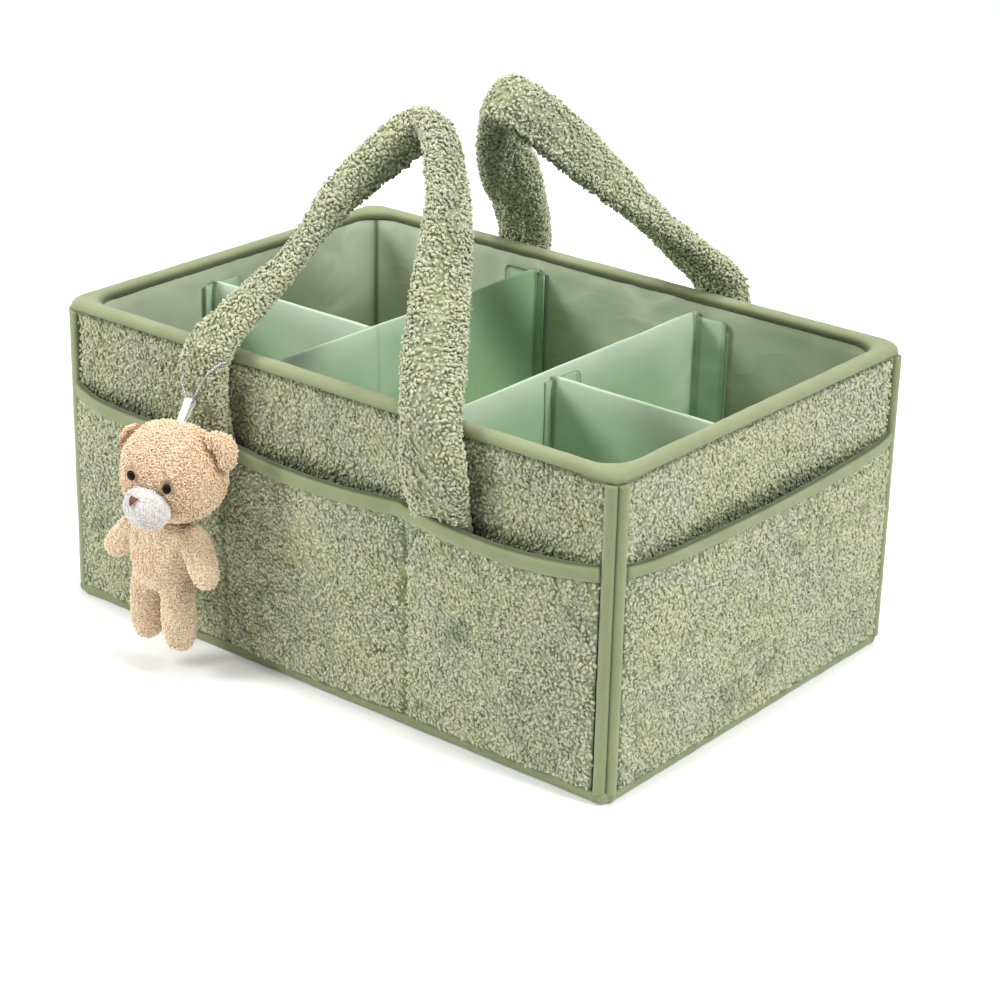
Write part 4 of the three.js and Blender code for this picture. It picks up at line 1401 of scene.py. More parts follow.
@dataclass
class Walls:
    """The sherpa panels of the walls, and the lining and base inside them.

    Attributes:
        face: Distance from the outline in to the panels' outer face.
        bottom, top: Heights between which a panel's sherpa runs.
        margin: How far a panel stops short of the outline's corner.
        pile: Height of the pile.
        tuft: Width of a tuft.
        step: Spacing of the mesh.
        shown: Height that a pocket hides the panel up to, where the mesh is coarse.
        hidden: Rows of the mesh below that height.
        feet: Places of the front handle's feet, beside which the panel is shaded.
        corner_inset: Inset of the lining at the line up its corners.
    """

    face: float = 1.5
    bottom: float = 5.0
    top: float = 172.4
    margin: float = 8.5
    pile: float = 1.0
    tuft: float = 5.0
    step: float = 1.9
    shown: float = 110.0
    hidden: int = 13
    feet: Pair = (-57.5, 104.0)
    corner_inset: float = 9.6

    def panel(self, side: Side) -> bpy.types.Object:
        """One wall's sherpa, with a slightly uneven face."""
        run = OUTLINE.run(side) - self.margin
        columns = int(2 * run / self.step) + 1
        fine = np.linspace(self.shown, self.top, int((self.top - self.shown) / self.step) + 1)
        heights = np.r_[np.linspace(self.bottom, self.shown, self.hidden + 1)[:-1], fine]
        along, up = np.meshgrid(np.linspace(-run, run, columns), heights)
        out = OUTLINE.reach(side) - self.face - 0.9
        flat = side.place(along, out, up).reshape(-1, 3)
        wave = 0.7 * layered(flat, 55, 3 + side.value).reshape(along.shape)
        outside = side.place(along, out + np.minimum(wave, 0.3), up)
        skin = backed(outside, side.place(0.0, -3.6, 0.0))
        mask = np.arange(len(skin.points)) < along.size
        skin = with_pile(skin, self.pile, self.tuft, 100 + side.value, mask=mask, shown=0.55)
        skin = unrolled(skin, (len(heights) - 1, columns - 1))
        face = skin.points[: along.size].reshape(*along.shape, 3)[self.hidden :]
        along = along[self.hidden :]
        high = face[..., 2]
        # Painted shade: the panel's pile darkens down into the gap behind the pocket's mouth, more where the pocket
        # gapes.
        mouth = Pockets.top - Pockets().dip(side, along)
        shade = 0.15 + 0.85 * ramp(high, mouth - 5, mouth + 3 + 9 * Pockets().fullness(side, along))
        # Painted shade under the rim's tape.
        shade *= 1 - 0.6 * ramp(high, 168.0, 170.5)
        shade *= 1 - 0.5 * crevices(face.reshape(-1, 3), 7.0, 126).reshape(high.shape)
        # Painted shadow of the front handle's feet on the panel beside them.
        if side is Side.FRONT:
            for foot in self.feet:
                beside = ramp(along, foot - 9, foot - 1) * (1 - ramp(along, foot, foot + 7))
                shade *= 1 - 0.6 * beside * (1 - ramp(high, 150, 172))
        skin.marks["pile"][: up.size].reshape(up.shape)[self.hidden :] *= shade
        curls = WALL_CURLS.over(face, 120 + side.value, shade=shade)
        piece = make_piece(f"{side.label}_sherpa_panel", side_by_side(skin, curls, 0.3), SHERPA)
        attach(piece, "basket")
        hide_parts(f"{side.label}_panel")
        return piece

    def lining(self) -> bpy.types.Object:
        """The satin inside: four walls that meet in soft corners, and the floor."""
        heights = np.r_[np.linspace(173.5, 8.5, 54), 6.6, 5.7]
        insets = np.r_[8.6, 9.0, np.full(52, 9.3), 10.4, 12.5]
        walls = [OUTLINE.level(inset, up, 3.0) for up, inset in zip(heights, insets)]
        floor = [OUTLINE.level(12.5, 5.6, 3.0, share) for share in (0.8, 0.55, 0.3, 0.1)]
        rings = np.stack([*walls, *floor])
        rows, count = rings.shape[:2]
        flat = rings.reshape(-1, 3)
        end = np.abs(flat[:, 0]) / OUTLINE.half_length > np.abs(flat[:, 1]) / OUTLINE.half_width
        inwards = -np.sign(flat) * np.stack([end, ~end, 0 * end], axis=1)
        folds = 0.75 * layered(drawn(flat, 0.35), 30, 61) + 0.4 * drift(drawn(flat, 0.6), 12, 62)
        tall = ramp(flat[:, 2], 6, 14) * (1 - 0.8 * ramp(flat[:, 2], 162, 171))
        flat = flat + inwards * np.maximum(0.25 + folds * tall, -0.35)[:, None]
        flat[:, 2] += (1 - ramp(flat[:, 2], 6.0, 7.5)) * np.maximum(0, drift(flat, 30, 63)) * 0.15
        skin = Skin(flat, grid(rows, count, wrap=True), [list(range((rows - 1) * count, rows * count))])
        x, y, z = skin.points.T
        # A dark line just under the rim: its stitching, and painted shade under the rim.
        edge = 1 - ramp(np.abs(z - 165.5), 0.3, 0.9)
        dark = 0.95 * self.corner_nearness(skin.points) * ramp(z, 6, 12) + 0.6 * edge
        # Painted reflection: a pale sheen on the upper lining, stronger in clouds on the front part of the left wall's
        # inner face, and paler towards the back left.
        near = ramp(-x, 172, 179) * ramp(-y, -30, 90)
        clouds = 0.5 + 0.5 * layered(skin.points, 40, 64)
        far = ramp(-x, 90, 179) * ramp(y, 20, 110)
        silver = (0.25 + near * (0.25 + 0.5 * clouds)) * ramp(z, 100, 160) + 0.22 * far
        skin.mark(seam=np.clip(dark, 0, 1), edge=np.clip(silver, 0, 0.9))
        piece = make_piece("satin_lining_inside", skin, LINING)
        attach(piece, "basket")
        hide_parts("lining")
        return piece

    def corner_nearness(self, points: Array) -> Array:
        """1 at the line up the middle of each corner, and 0 a few millimetres off."""
        radius, x, y = OUTLINE.bend(self.corner_inset)
        dx, dy = np.abs(points[:, 0]) - x, np.abs(points[:, 1]) - y
        angle = np.arctan2(np.maximum(dy, 1e-6), np.maximum(dx, 1e-6))
        return np.where((dx > 0) & (dy > 0), hump((angle - math.pi / 4) * radius, 0, 1.5), 0)

    def base(self) -> bpy.types.Object:
        """The sherpa under the base."""
        under = ((0.02, 0.9), (0.25, 0.8), (0.5, 0.9), (0.75, 0.8), (0.92, 0.9), (1.0, 1.0))
        over = ((1.0, 3.6), (0.5, 3.8), (0.02, 3.8))
        rings = np.stack([OUTLINE.level(9.0, up, 6.0, share) for share, up in under + over])
        wave = 0.4 * drift(rings.reshape(-1, 3), 18, 71).reshape(rings.shape[:2])
        rings[..., 2] += np.where(rings[..., 2] < 2, wave * 0.6, 0)
        skin = tube(rings[:, ::-1])
        skin.mark(pile=0.4 + 0.3 * drift(skin.points, 4, 72), tone=0.5)
        piece = make_piece("base_underside", skin, SHERPA)
        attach(piece, "basket")
        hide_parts("base_panel")
        return piece

    def build(self) -> None:
        """Makes the panels, the lining and the base, and finishes the boards in them."""
        for side in Side:
            self.panel(side)
            dress_node(f"{side.label}_board", BOARD)
        self.lining()
        self.base()


@dataclass
class Bindings:
    """The tape round the rim, round the bottom and up the corners.

    Attributes:
        rim_section: Insets and heights of the rim's tape, from its outer edge over the crown.
        hem_section: The same for the tape round the bottom.
        corner_middle: Inset of the corner tape's own middle from the outline.
        ridge: How far each half of a corner's tape stands out.
        bottom, top: Heights between which the corners' tapes run.
    """

    rim_section: tuple[Pair, ...] = (
        (1.5, 171.4), (0.6, 171.6), (0.1, 173.0), (0.2, 174.9), (1.0, 176.7), (2.5, 177.8),
        (4.5, 178.1), (6.6, 177.6), (8.4, 176.3), (9.3, 174.6), (9.5, 172.8), (8.9, 171.4),
        (7.6, 171.2), (4.6, 172.6), (2.6, 172.4),
    )
    hem_section: tuple[Pair, ...] = (
        (1.0, 8.6), (0.2, 8.0), (-0.3, 6.4), (-0.4, 4.4), (0.0, 2.2), (1.0, 0.7), (2.8, 0.05),
        (5.6, 0.1), (8.4, 0.4), (9.4, 1.2), (9.0, 2.4), (5.0, 3.2), (2.6, 6.0),
    )
    corner_middle: float = 8.0
    ridge: float = 3.5
    bottom: float = 6.2
    top: float = 171.2

    def band(self, name: str, section: Sequence[Pair], node: str, seed: int) -> None:
        """One tape taken round the basket.

        Args:
            name: Name of the piece.
            section: Its insets and heights.
            node: The CAD node that it stands for.
            seed: Picks its unevenness.
        """
        rim = node == "rim_binding"
        closed = np.array([*section, section[0]])
        dense = spaced(np.c_[closed, column(0.0, len(closed))], 1.1)[:-1, :2]
        for _ in range(2):
            dense = 0.25 * np.roll(dense, 1, 0) + 0.5 * dense + 0.25 * np.roll(dense, -1, 0)
        skin = outward(OUTLINE.swept([tuple(row) for row in dense]), ring=True)
        bumps = uneven(skin, (0.28, drawn(skin.points, 2.0), 14), (0.12, 4), (seed, seed + 5))
        skin = skin.swollen(bumps + self.corner_pucker(skin.points))
        if rim:
            skin.points[:, 2] -= self.droop(skin.points)
        x, y, level = skin.points.T
        seam = 0.85 * hump(level, section[0][1] + (0.2 if rim else -0.2), 0.8)
        if rim:
            # Painted shade on the rim's inner side, below its crown.
            inner = np.minimum(OUTLINE.half_length - np.abs(x), OUTLINE.half_width - np.abs(y))
            seam = np.maximum(seam, 0.8 * ramp(inner, 7.0, 8.8) * (1 - ramp(level, 174.0, 177.2)))
        # Painted light: the tape is paler where it faces up.
        skin.mark(seam=seam, edge=0.25 * np.clip(skin.normals()[:, 2], 0, 1))
        piece = make_piece(name, skin, TAPE)
        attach(piece, "basket")
        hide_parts(node)

    @staticmethod
    def near_corner(points: Array, inset: float, over: float) -> tuple[Array, Array]:
        """How near points are to a corner, from 0 to 1 over so far, and their angle round its middle."""
        x = np.abs(points[:, 0]) - (OUTLINE.half_length - inset)
        y = np.abs(points[:, 1]) - (OUTLINE.half_width - inset)
        return ramp(x, 0, over) * ramp(y, 0, over), np.arctan2(y, x)

    def droop(self, points: Array) -> Array:
        """How much lower the rim's outer edge lies where it is drawn round a corner."""
        near, _ = self.near_corner(points, 26, 24)
        low = 1 - ramp(points[:, 2], 169.5, 177.5)
        return 2.6 * near * low + 0.5 * low * (0.5 + 0.5 * drift(drawn(points, 0), 23, 97))

    def corner_pucker(self, points: Array) -> Array:
        """Small gathers where the tape turns a corner."""
        near, angle = self.near_corner(points, 13, 7)
        return 0.45 * near * (1 - ramp(points[:, 2], 169, 176)) * np.sin(angle * 17)

    def corner(self, number: int, name: str) -> None:
        """One corner's tape: two soft strips with a stitched groove between.

        Args:
            number: Quarter turns from the back right corner, anticlockwise.
            name: Name of the corner in node names.
        """
        signs = ((1, 1), (-1, 1), (-1, -1), (1, -1))[number]
        middle = np.array([OUTLINE.half_length - self.corner_middle, OUTLINE.half_width - self.corner_middle]) * signs
        angles = np.radians(np.linspace(-12, 102, 58))
        share = angles / (math.pi / 2)
        strips = ((0.8, 0.25, 1.0), (0.26, 0.3, 0.72)) if number % 2 else ((0.2, 0.25, 1.0), (0.74, 0.3, 0.72))
        lobes = [tall * np.sqrt(np.clip(1 - ((share - at) / half) ** 2, 0, 1)) for at, half, tall in strips]
        lobes = np.max(lobes, axis=0)
        flat = np.clip(1 - np.abs(share - 0.5) / 0.62, 0, 1) ** 0.5
        radius = self.corner_middle - 1.6 + self.ridge * lobes + 0.6 * flat
        turn = angles + number * math.pi / 2
        back = column(5.6, len(turn[::-3]))
        ring = np.vstack([
            middle + size[:, None] * np.stack([np.cos(way), np.sin(way)], axis=1)
            for size, way in ((radius, turn), (back, turn[::-3]))
        ])
        heights = np.linspace(self.bottom, self.top, 108)
        skin = tube(np.stack([np.c_[ring, column(up, len(ring))] for up in heights]))
        wobble = uneven(skin, (0.22, drawn(skin.points, 0.5), 9), (0.1, 3), (81 + number, 83))
        # Darker in the stitched groove and at the strips' sides: painted shade. Paler on the strips' crowns: painted
        # highlight.
        tops, seam = (
            np.tile(np.r_[values, 0 * back], len(heights)) for values in (lobes, np.clip(1 - 1.9 * lobes, 0, 1))
        )
        skin = skin.swollen(wobble * (tops > 0.2)).mark(seam=0.85 * seam, edge=0.12 * np.clip(tops, 0, 1))
        piece = make_piece(f"corner_tape_{name}", skin, TAPE)
        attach(piece, "basket")
        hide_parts(f"corner_binding_{name}")

    def build(self) -> None:
        """Makes every tape that runs round or up the basket."""
        self.band("rim_tape", self.rim_section, "rim_binding", 91)
        self.band("bottom_tape", self.hem_section, "bottom_binding", 95)
        for number, name in enumerate(("back_right", "back_left", "front_left", "front_right")):
            self.corner(number, name)


@dataclass
class Pockets:
    """The patch pockets outside the walls, each gaping a little at its taped top.

    Attributes:
        bottom, top: Heights of a pocket's cloth.
        cloth: Thickness of the cloth.
        shut: Distance from the panel's face to the cloth's outside where it is sewn down.
        gape, side_gape: The same at the middle of the top edge, on a long wall and on an end wall.
        seams: Places of the stitched lines on a long wall.
        step: Spacing of the mesh.
        pile: Height of the pile.
        tuft: Width of a tuft.
    """

    bottom: float = 8.6
    top: float = 125.0
    cloth: float = 2.0
    shut: float = 2.4
    gape: float = 10.4
    side_gape: float = 9.6
    seams: Pair = (-67.9, 60.6)
    step: float = 2.0
    pile: float = 1.0
    tuft: float = 5.0

    def half(self, side: Side) -> float:
        """Half the width of a wall's pocket."""
        return 181.0 if side.long else 118.0

    def fullness(self, side: Side, along: Array) -> Array:
        """How far the top edge stands off.

        Args:
            side: The wall.
            along: Places along it.

        Returns:
            Shares from 0 at a seam to 1 in the middle between two.
        """
        half, total = self.half(side), np.zeros_like(along)
        marks = [-half, *(self.seams if side.long else ()), half]
        for low, high in zip(marks, marks[1:]):
            share = np.clip((along - low) / (high - low), 0, 1)
            total = np.where((along >= low) & (along <= high), np.sin(math.pi * share) ** 0.55, total)
        return total

    def stand_off(self, side: Side, along: Array, up: Array) -> Array:
        """Distance of the cloth's outside from the panel's face.

        Args:
            side: The wall.
            along, up: Places along it and up it.

        Returns:
            Millimetres.
        """
        reach = self.gape if side.long else self.side_gape
        full = self.fullness(side, along)
        rise = ramp(up, self.bottom - 2, self.top) ** 0.9
        belly = 0.55 * hump(up, 62, 45)
        at_seam = 0.42 * ramp(up, self.top - 26, self.top) if side.long else 0.0
        spread = np.maximum(full, at_seam * ramp(self.half(side) - np.abs(along), 0, 16))
        return self.shut + (reach - self.shut) * spread * (0.25 + 0.75 * rise) + belly * full

    def crease(self, side: Side, along: Array, up: Array) -> Array:
        """How deep the cloth is drawn in along the stitched lines, from 0 to 1."""
        if not side.long:
            return np.zeros_like(along)
        below = 1 - ramp(up, self.top - 14, self.top - 4)
        return sum(hump(along, seam, 1.6) for seam in self.seams) * below

    def dip(self, side: Side, along: Array) -> Array:
        """How far the top edge sinks: most in each bay's middle, and less beside the corner tapes.

        Args:
            side: The wall.
            along: Places along it.

        Returns:
            Millimetres.
        """
        half = self.half(side)
        full = self.fullness(side, along) ** 2
        if not side.long:
            return 0.3 * full - 1.2 * (hump(along, -half, 11) + hump(along, half, 11))
        pulled = -2.4 * (hump(along, -half, 13) + 0.3 * hump(along, half, 12))
        last = 1.2 * ramp(along, self.seams[1] - 1.5, self.seams[1] + 1.5) * (1 - ramp(along, 120, half))
        return 1.4 * full + pulled + last

    def cloth_skin(self, side: Side) -> tuple[Skin, Skin]:
        """The pocket's cloth, and the curls of its pile."""
        half = self.half(side)
        columns = 3 * int(2 * half / self.step / 3) + 1
        rows = 3 * int((self.top - self.bottom) / self.step / 3) + 1
        along, share = np.meshgrid(np.linspace(-half, half, columns), np.linspace(0, 1, rows))
        up = self.bottom + share * (self.top - self.dip(side, along) - self.bottom)
        face, nip = OUTLINE.reach(side) - 1.5, self.crease(side, along, up)
        out = face + self.stand_off(side, along, up) - 1.1 * nip
        flat = side.place(along, out, up).reshape(-1, 3)
        free = ramp(half - np.abs(along), 0, 14) * ramp(up, self.bottom, self.bottom + 16)
        wave = 1.1 * layered(drawn(flat, 0.6), 48, 31 + side.value).reshape(along.shape)
        out = out + np.clip(wave, -1.2, 1.2) * free
        inside = side.place(along, np.maximum(out - self.cloth, face + 0.15), up)
        skin = shell(side.place(along, out - 0.8, up), inside, thin=3)
        mask = np.zeros(len(skin.points))
        mask[: along.size] = ((1 - 0.7 * nip) * (1 - ramp(share, 0.92, 0.96))).ravel()
        skin = with_pile(skin, self.pile, self.tuft, 140 + side.value, mask=mask, shown=0.55)
        outer = skin.points[: along.size].reshape(*along.shape, 3)
        # Painted shade in the clefts between tufts, and on the curls in the stitched creases.
        shade = 1 - 0.5 * crevices(outer.reshape(-1, 3), 7.0, 166).reshape(along.shape)
        keep = (1.0 - 0.55 * nip) * (1 - 0.5 * ramp(share, 0.93, 0.96))
        curls = WALL_CURLS.over(outer, 160 + side.value, keep=keep, shade=shade * (1 - 0.4 * nip))
        return unrolled(skin, (rows - 1, columns - 1), ((rows - 1) // 3, (columns - 1) // 3)), curls

    def tape_skin(self, side: Side) -> Skin:
        """The rounded tape folded over the pocket's top edge."""
        half = self.half(side) + 0.6
        along = np.linspace(-half, half, int(2 * half / 1.6))
        top = self.top - self.dip(side, along) + 1.2
        out = OUTLINE.reach(side) - 1.5 + self.stand_off(side, along, top - 4) - 0.9
        nip = self.crease(side, along, np.full_like(along, self.top - 12))
        across, high = oval(turns(30), 2.4, 2.6)
        thick, tall = (2.6, 4.6) if side.long else (2.3, 3.8)
        wide = thick * (1 - 0.16 * nip)
        rings = side.place(along, out, top - 2.0)[:, None] + np.outer(wide, across)[..., None] * side.place(0, 1, 0)
        rings[..., 2] += tall * high
        skin = outward(rings)
        skin = skin.swollen(uneven(skin, (0.25, skin.points, 12), (0.12, 3.5), (151 + side.value, 153)))
        # Painted shade along the tape's underside, where it meets the cloth, and painted light along its top.
        low = np.tile(high, len(along))
        return skin.mark(seam=0.85 * (1 - ramp(low, -0.99, -0.8)), edge=0.3 * ramp(low, 0.6, 1.0))

    def build(self) -> None:
        """Makes the four pockets and their tapes."""
        for side in Side:
            skin, curls = self.cloth_skin(side)
            cloth = make_piece(f"{side.label}_pocket_cloth", skin, SHERPA)
            pile = make_piece(f"{side.label}_pocket_curls", curls, SHERPA)
            tape = make_piece(f"{side.label}_pocket_tape", self.tape_skin(side), TAPE)
            for piece in (cloth, pile, tape):
                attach(piece, "basket")
            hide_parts(f"{side.label}_pocket")
            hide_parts(f"{side.label}_pocket_binding")
            width, height = 2 * self.half(side) * MM, (self.top - self.bottom) * MM


# Dividers


@dataclass
class Divider:
    """One satin divider over a board, with tabs at its ends that lie on the walls.

    Attributes:
        name: The body, and the start of its nodes' names.
        across: Whether it runs across the basket, along Y.
        at: Its place along the other axis.
        run: Where it starts and ends.
        top: Height of its top edge.
        tab_side: The side that its tabs fold to.
        seed: Picks its folds.
        sheen: How strong the painted reflection along its top is at its two ends.
        stitched: Place along it of a line of stitches up it, where it has one.
        half: Half its thickness.
        bottom: Height of its bottom edge.
        tab, tab_cloth: Width and thickness of a tab.
        tab_corner: Radius of a tab's top corner.
    """

    name: str
    across: bool
    at: float
    run: Pair
    top: float
    tab_side: int
    seed: int
    sheen: Pair = (1.0, 1.0)
    stitched: float = 1000.0
    half: float = 1.9
    bottom: float = 5.9
    tab: float = 20.4
    tab_cloth: float = 1.1
    tab_corner: float = 3.0

    def place(self, along: Array, off: Array, up: Array) -> Array:
        """Turns places along and off the divider into places of the object."""
        along, off, up = np.broadcast_arrays(along, off, up)
        return np.stack([self.at + off, along, up] if self.across else [along, self.at + off, up], axis=-1)

    def outline(self, along: Array) -> Array:
        """Height of the top edge, which wavers and sinks at its ends."""
        flat = np.stack([along, np.full_like(along, self.at), np.zeros_like(along)], axis=1)
        waver = 0.8 * drift(flat, 32, self.seed) + 0.35 * drift(flat, 9, self.seed + 1)
        ends = sum(hump(along, end, 5) for end in self.run)
        return self.top - 0.35 + 0.3 * waver - 0.25 * np.minimum(ends, 1)

    def sheath(self) -> Skin:
        """The padded cover, a loop of cloth over the board."""
        start, end = self.run
        inset = self.tab_cloth * 0.2
        along = np.linspace(start + inset, end - inset, int((end - start) / 2.4))
        top = self.outline(along)
        t, height = np.linspace(0, 1, 61), top[:, None]
        crown, angle = (t >= 0.45) & (t <= 0.55), math.pi * (t - 0.45) / 0.10
        rise = self.bottom + np.minimum(t, 1 - t) / 0.45 * (height - self.bottom - 1.5)
        up = np.where(crown, height - 1.5 + 1.5 * np.sin(angle), rise)
        off = np.where(crown, -np.cos(angle), np.where(t < 0.45, -1.0, 1.0))
        pinch = 1 - 0.5 * ramp(up, height - 8, height - 1)
        skin = outward(self.place(along[:, None], off * self.half * pinch, up))
        flat, axis = skin.points, 0 if self.across else 1
        place, off, high = flat[:, 1 - axis], flat[:, axis] - self.at, flat[:, 2]
        under = np.interp(place, along, top) - high
        free = (
            ramp(place, start, start + 26) * ramp(-place, -end, -end + 26)
            * ramp(high, self.bottom, self.bottom + 24) * ramp(under, 0, 22)
        )
        creases = layered(drawn(flat, 0.7), 42, self.seed + 3)
        fine = drift(drawn(flat, 0.35), 17, self.seed + 5)
        swell = 0.9 * creases * free + 0.3 * fine * ramp(under, 0, 8) + 0.35 * free
        below = hump(under, 4.2, 0.55)
        ends = hump(place, start + 2.5, 0.7) + hump(place, end - 2.5, 0.7)
        step = np.clip(swell - (0.25 * below + 0.3 * ends), -0.7, 0.9) * np.sign(off) * (np.abs(off) > 0.5)
        # Painted reflection: a pale sheen that fades down from the top edge, in clouds, and less on the crown itself.
        cloud = 0.5 + 0.5 * layered(drawn(flat, 0.8), 38, self.seed + 13)
        fade = np.interp(place, (start, end), self.sheen) * (0.7 + 0.5 * cloud)
        silver = np.clip(fade * np.exp(-under / 17), 0, 1) * (1 - 0.3 * np.clip(hump(under, 0, 1.3), 0, 1))
        row = 0.4 * hump(place, self.stitched, 0.6)
        moved = skin.moved(np.outer(step, np.eye(3)[axis]))
        return moved.mark(edge=0.76 * silver, seam=np.clip(0.4 * below + 0.7 * ends + row, 0, 1))

    def flap(self, end: int) -> Skin:
        """One tab, which folds off the divider and lies on the wall with a rounded top corner."""
        wall = self.run[0] if end < 0 else self.run[1]
        inner = -end * self.tab_cloth
        share, rise = np.meshgrid(np.linspace(-0.4, 1, 22), np.linspace(0, 1, 70))
        out = share * self.tab
        off = self.tab_side * (self.half + out)
        past = np.clip((out - (self.tab - self.tab_corner)) / self.tab_corner, 0, 1)
        top = self.top - 3.0 - self.tab_corner * (1 - np.sqrt(np.clip(1 - past**2, 0, 1)))
        up = self.bottom + rise * (top - self.bottom)
        flat = self.place(wall, off, up).reshape(-1, 3)
        lift = 0.35 * layered(flat, 20, self.seed + 9 + end).reshape(off.shape)
        curl = 0.9 * ramp(share, 0.75, 1) * ramp(rise, 0.82, 1)
        near = wall + inner * (1.0 + np.clip(lift, -0.2, 0.6) + curl)
        skin = shell(self.place(near, off, up), self.place(near - inner * 0.85, off, up))
        if self.inside_out(skin):
            skin.quads = skin.quads[:, ::-1]
        stitch = hump(out, 2.2, 0.5) + hump(out, self.tab - 2.2, 0.5)
        rim = ramp(share, 0.9, 1.0) + ramp(rise, 0.985, 1.0)
        # Painted reflection: a pale sheen that fades down from the tab's top.
        silver = 0.5 * np.exp(-(self.top - up) / 20)
        seam, edge = (np.tile(values.ravel(), 2) for values in (0.8 * stitch + 0.7 * rim, silver))
        return skin.mark(seam=np.clip(seam, 0, 1), edge=edge)

    @staticmethod
    def inside_out(skin: Skin) -> bool:
        """Whether a closed skin's faces point inwards."""
        a, b, c, d = (skin.points[skin.quads[:, i]] for i in range(4))
        return float(((a - skin.points.mean(axis=0)) * np.cross(c - a, d - b)).sum()) < 0

    def build(self) -> None:
        """Makes the divider's cover with its tabs, and finishes its board."""
        skin = merged([self.sheath(), self.flap(-1), self.flap(1)])
        piece = make_piece(f"{self.name}_satin", skin, SATIN)
        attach(piece, self.name)
        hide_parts(f"{self.name}_cover")
        dress_node(f"{self.name}_board", BOARD)


@dataclass
class Dividers:
    """The four dividers, and the loop tape on the walls that their tabs stick to.

    Attributes:
        cross_reach: How far the cross dividers reach from the middle, along Y.
        outer_reach: How far the lengthwise dividers reach from the middle, along X.
        left_cross, right_cross: Places of the cross dividers along X.
        left_long, right_long: Places of the lengthwise dividers along Y.
    """

    cross_reach: float = 115.7
    outer_reach: float = 178.7
    left_cross: float = -52.06
    right_cross: float = 61.94
    left_long: float = -25.0
    right_long: float = -17.0

    def build(self) -> None:
        """Makes all four, and finishes the strips."""
        wide = (-self.cross_reach, self.cross_reach)
        for divider in (
            Divider("left_cross_divider", True, self.left_cross, wide, 169.0, -1, 201, (1.05, 0.0), self.left_long),
            Divider("right_cross_divider", True, self.right_cross, wide, 169.0, 1, 221),
            Divider("left_long_divider", False, self.left_long, (-self.outer_reach, -54.4), 167.0, 1, 241),
            Divider("right_long_divider", False, self.right_long, (64.2, self.outer_reach), 167.0, 1, 261),
        ):
            divider.build()
        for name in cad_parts:
            if name.endswith("_loop_strip"):
                dress_node(name, LOOP_TAPE)


# Handles


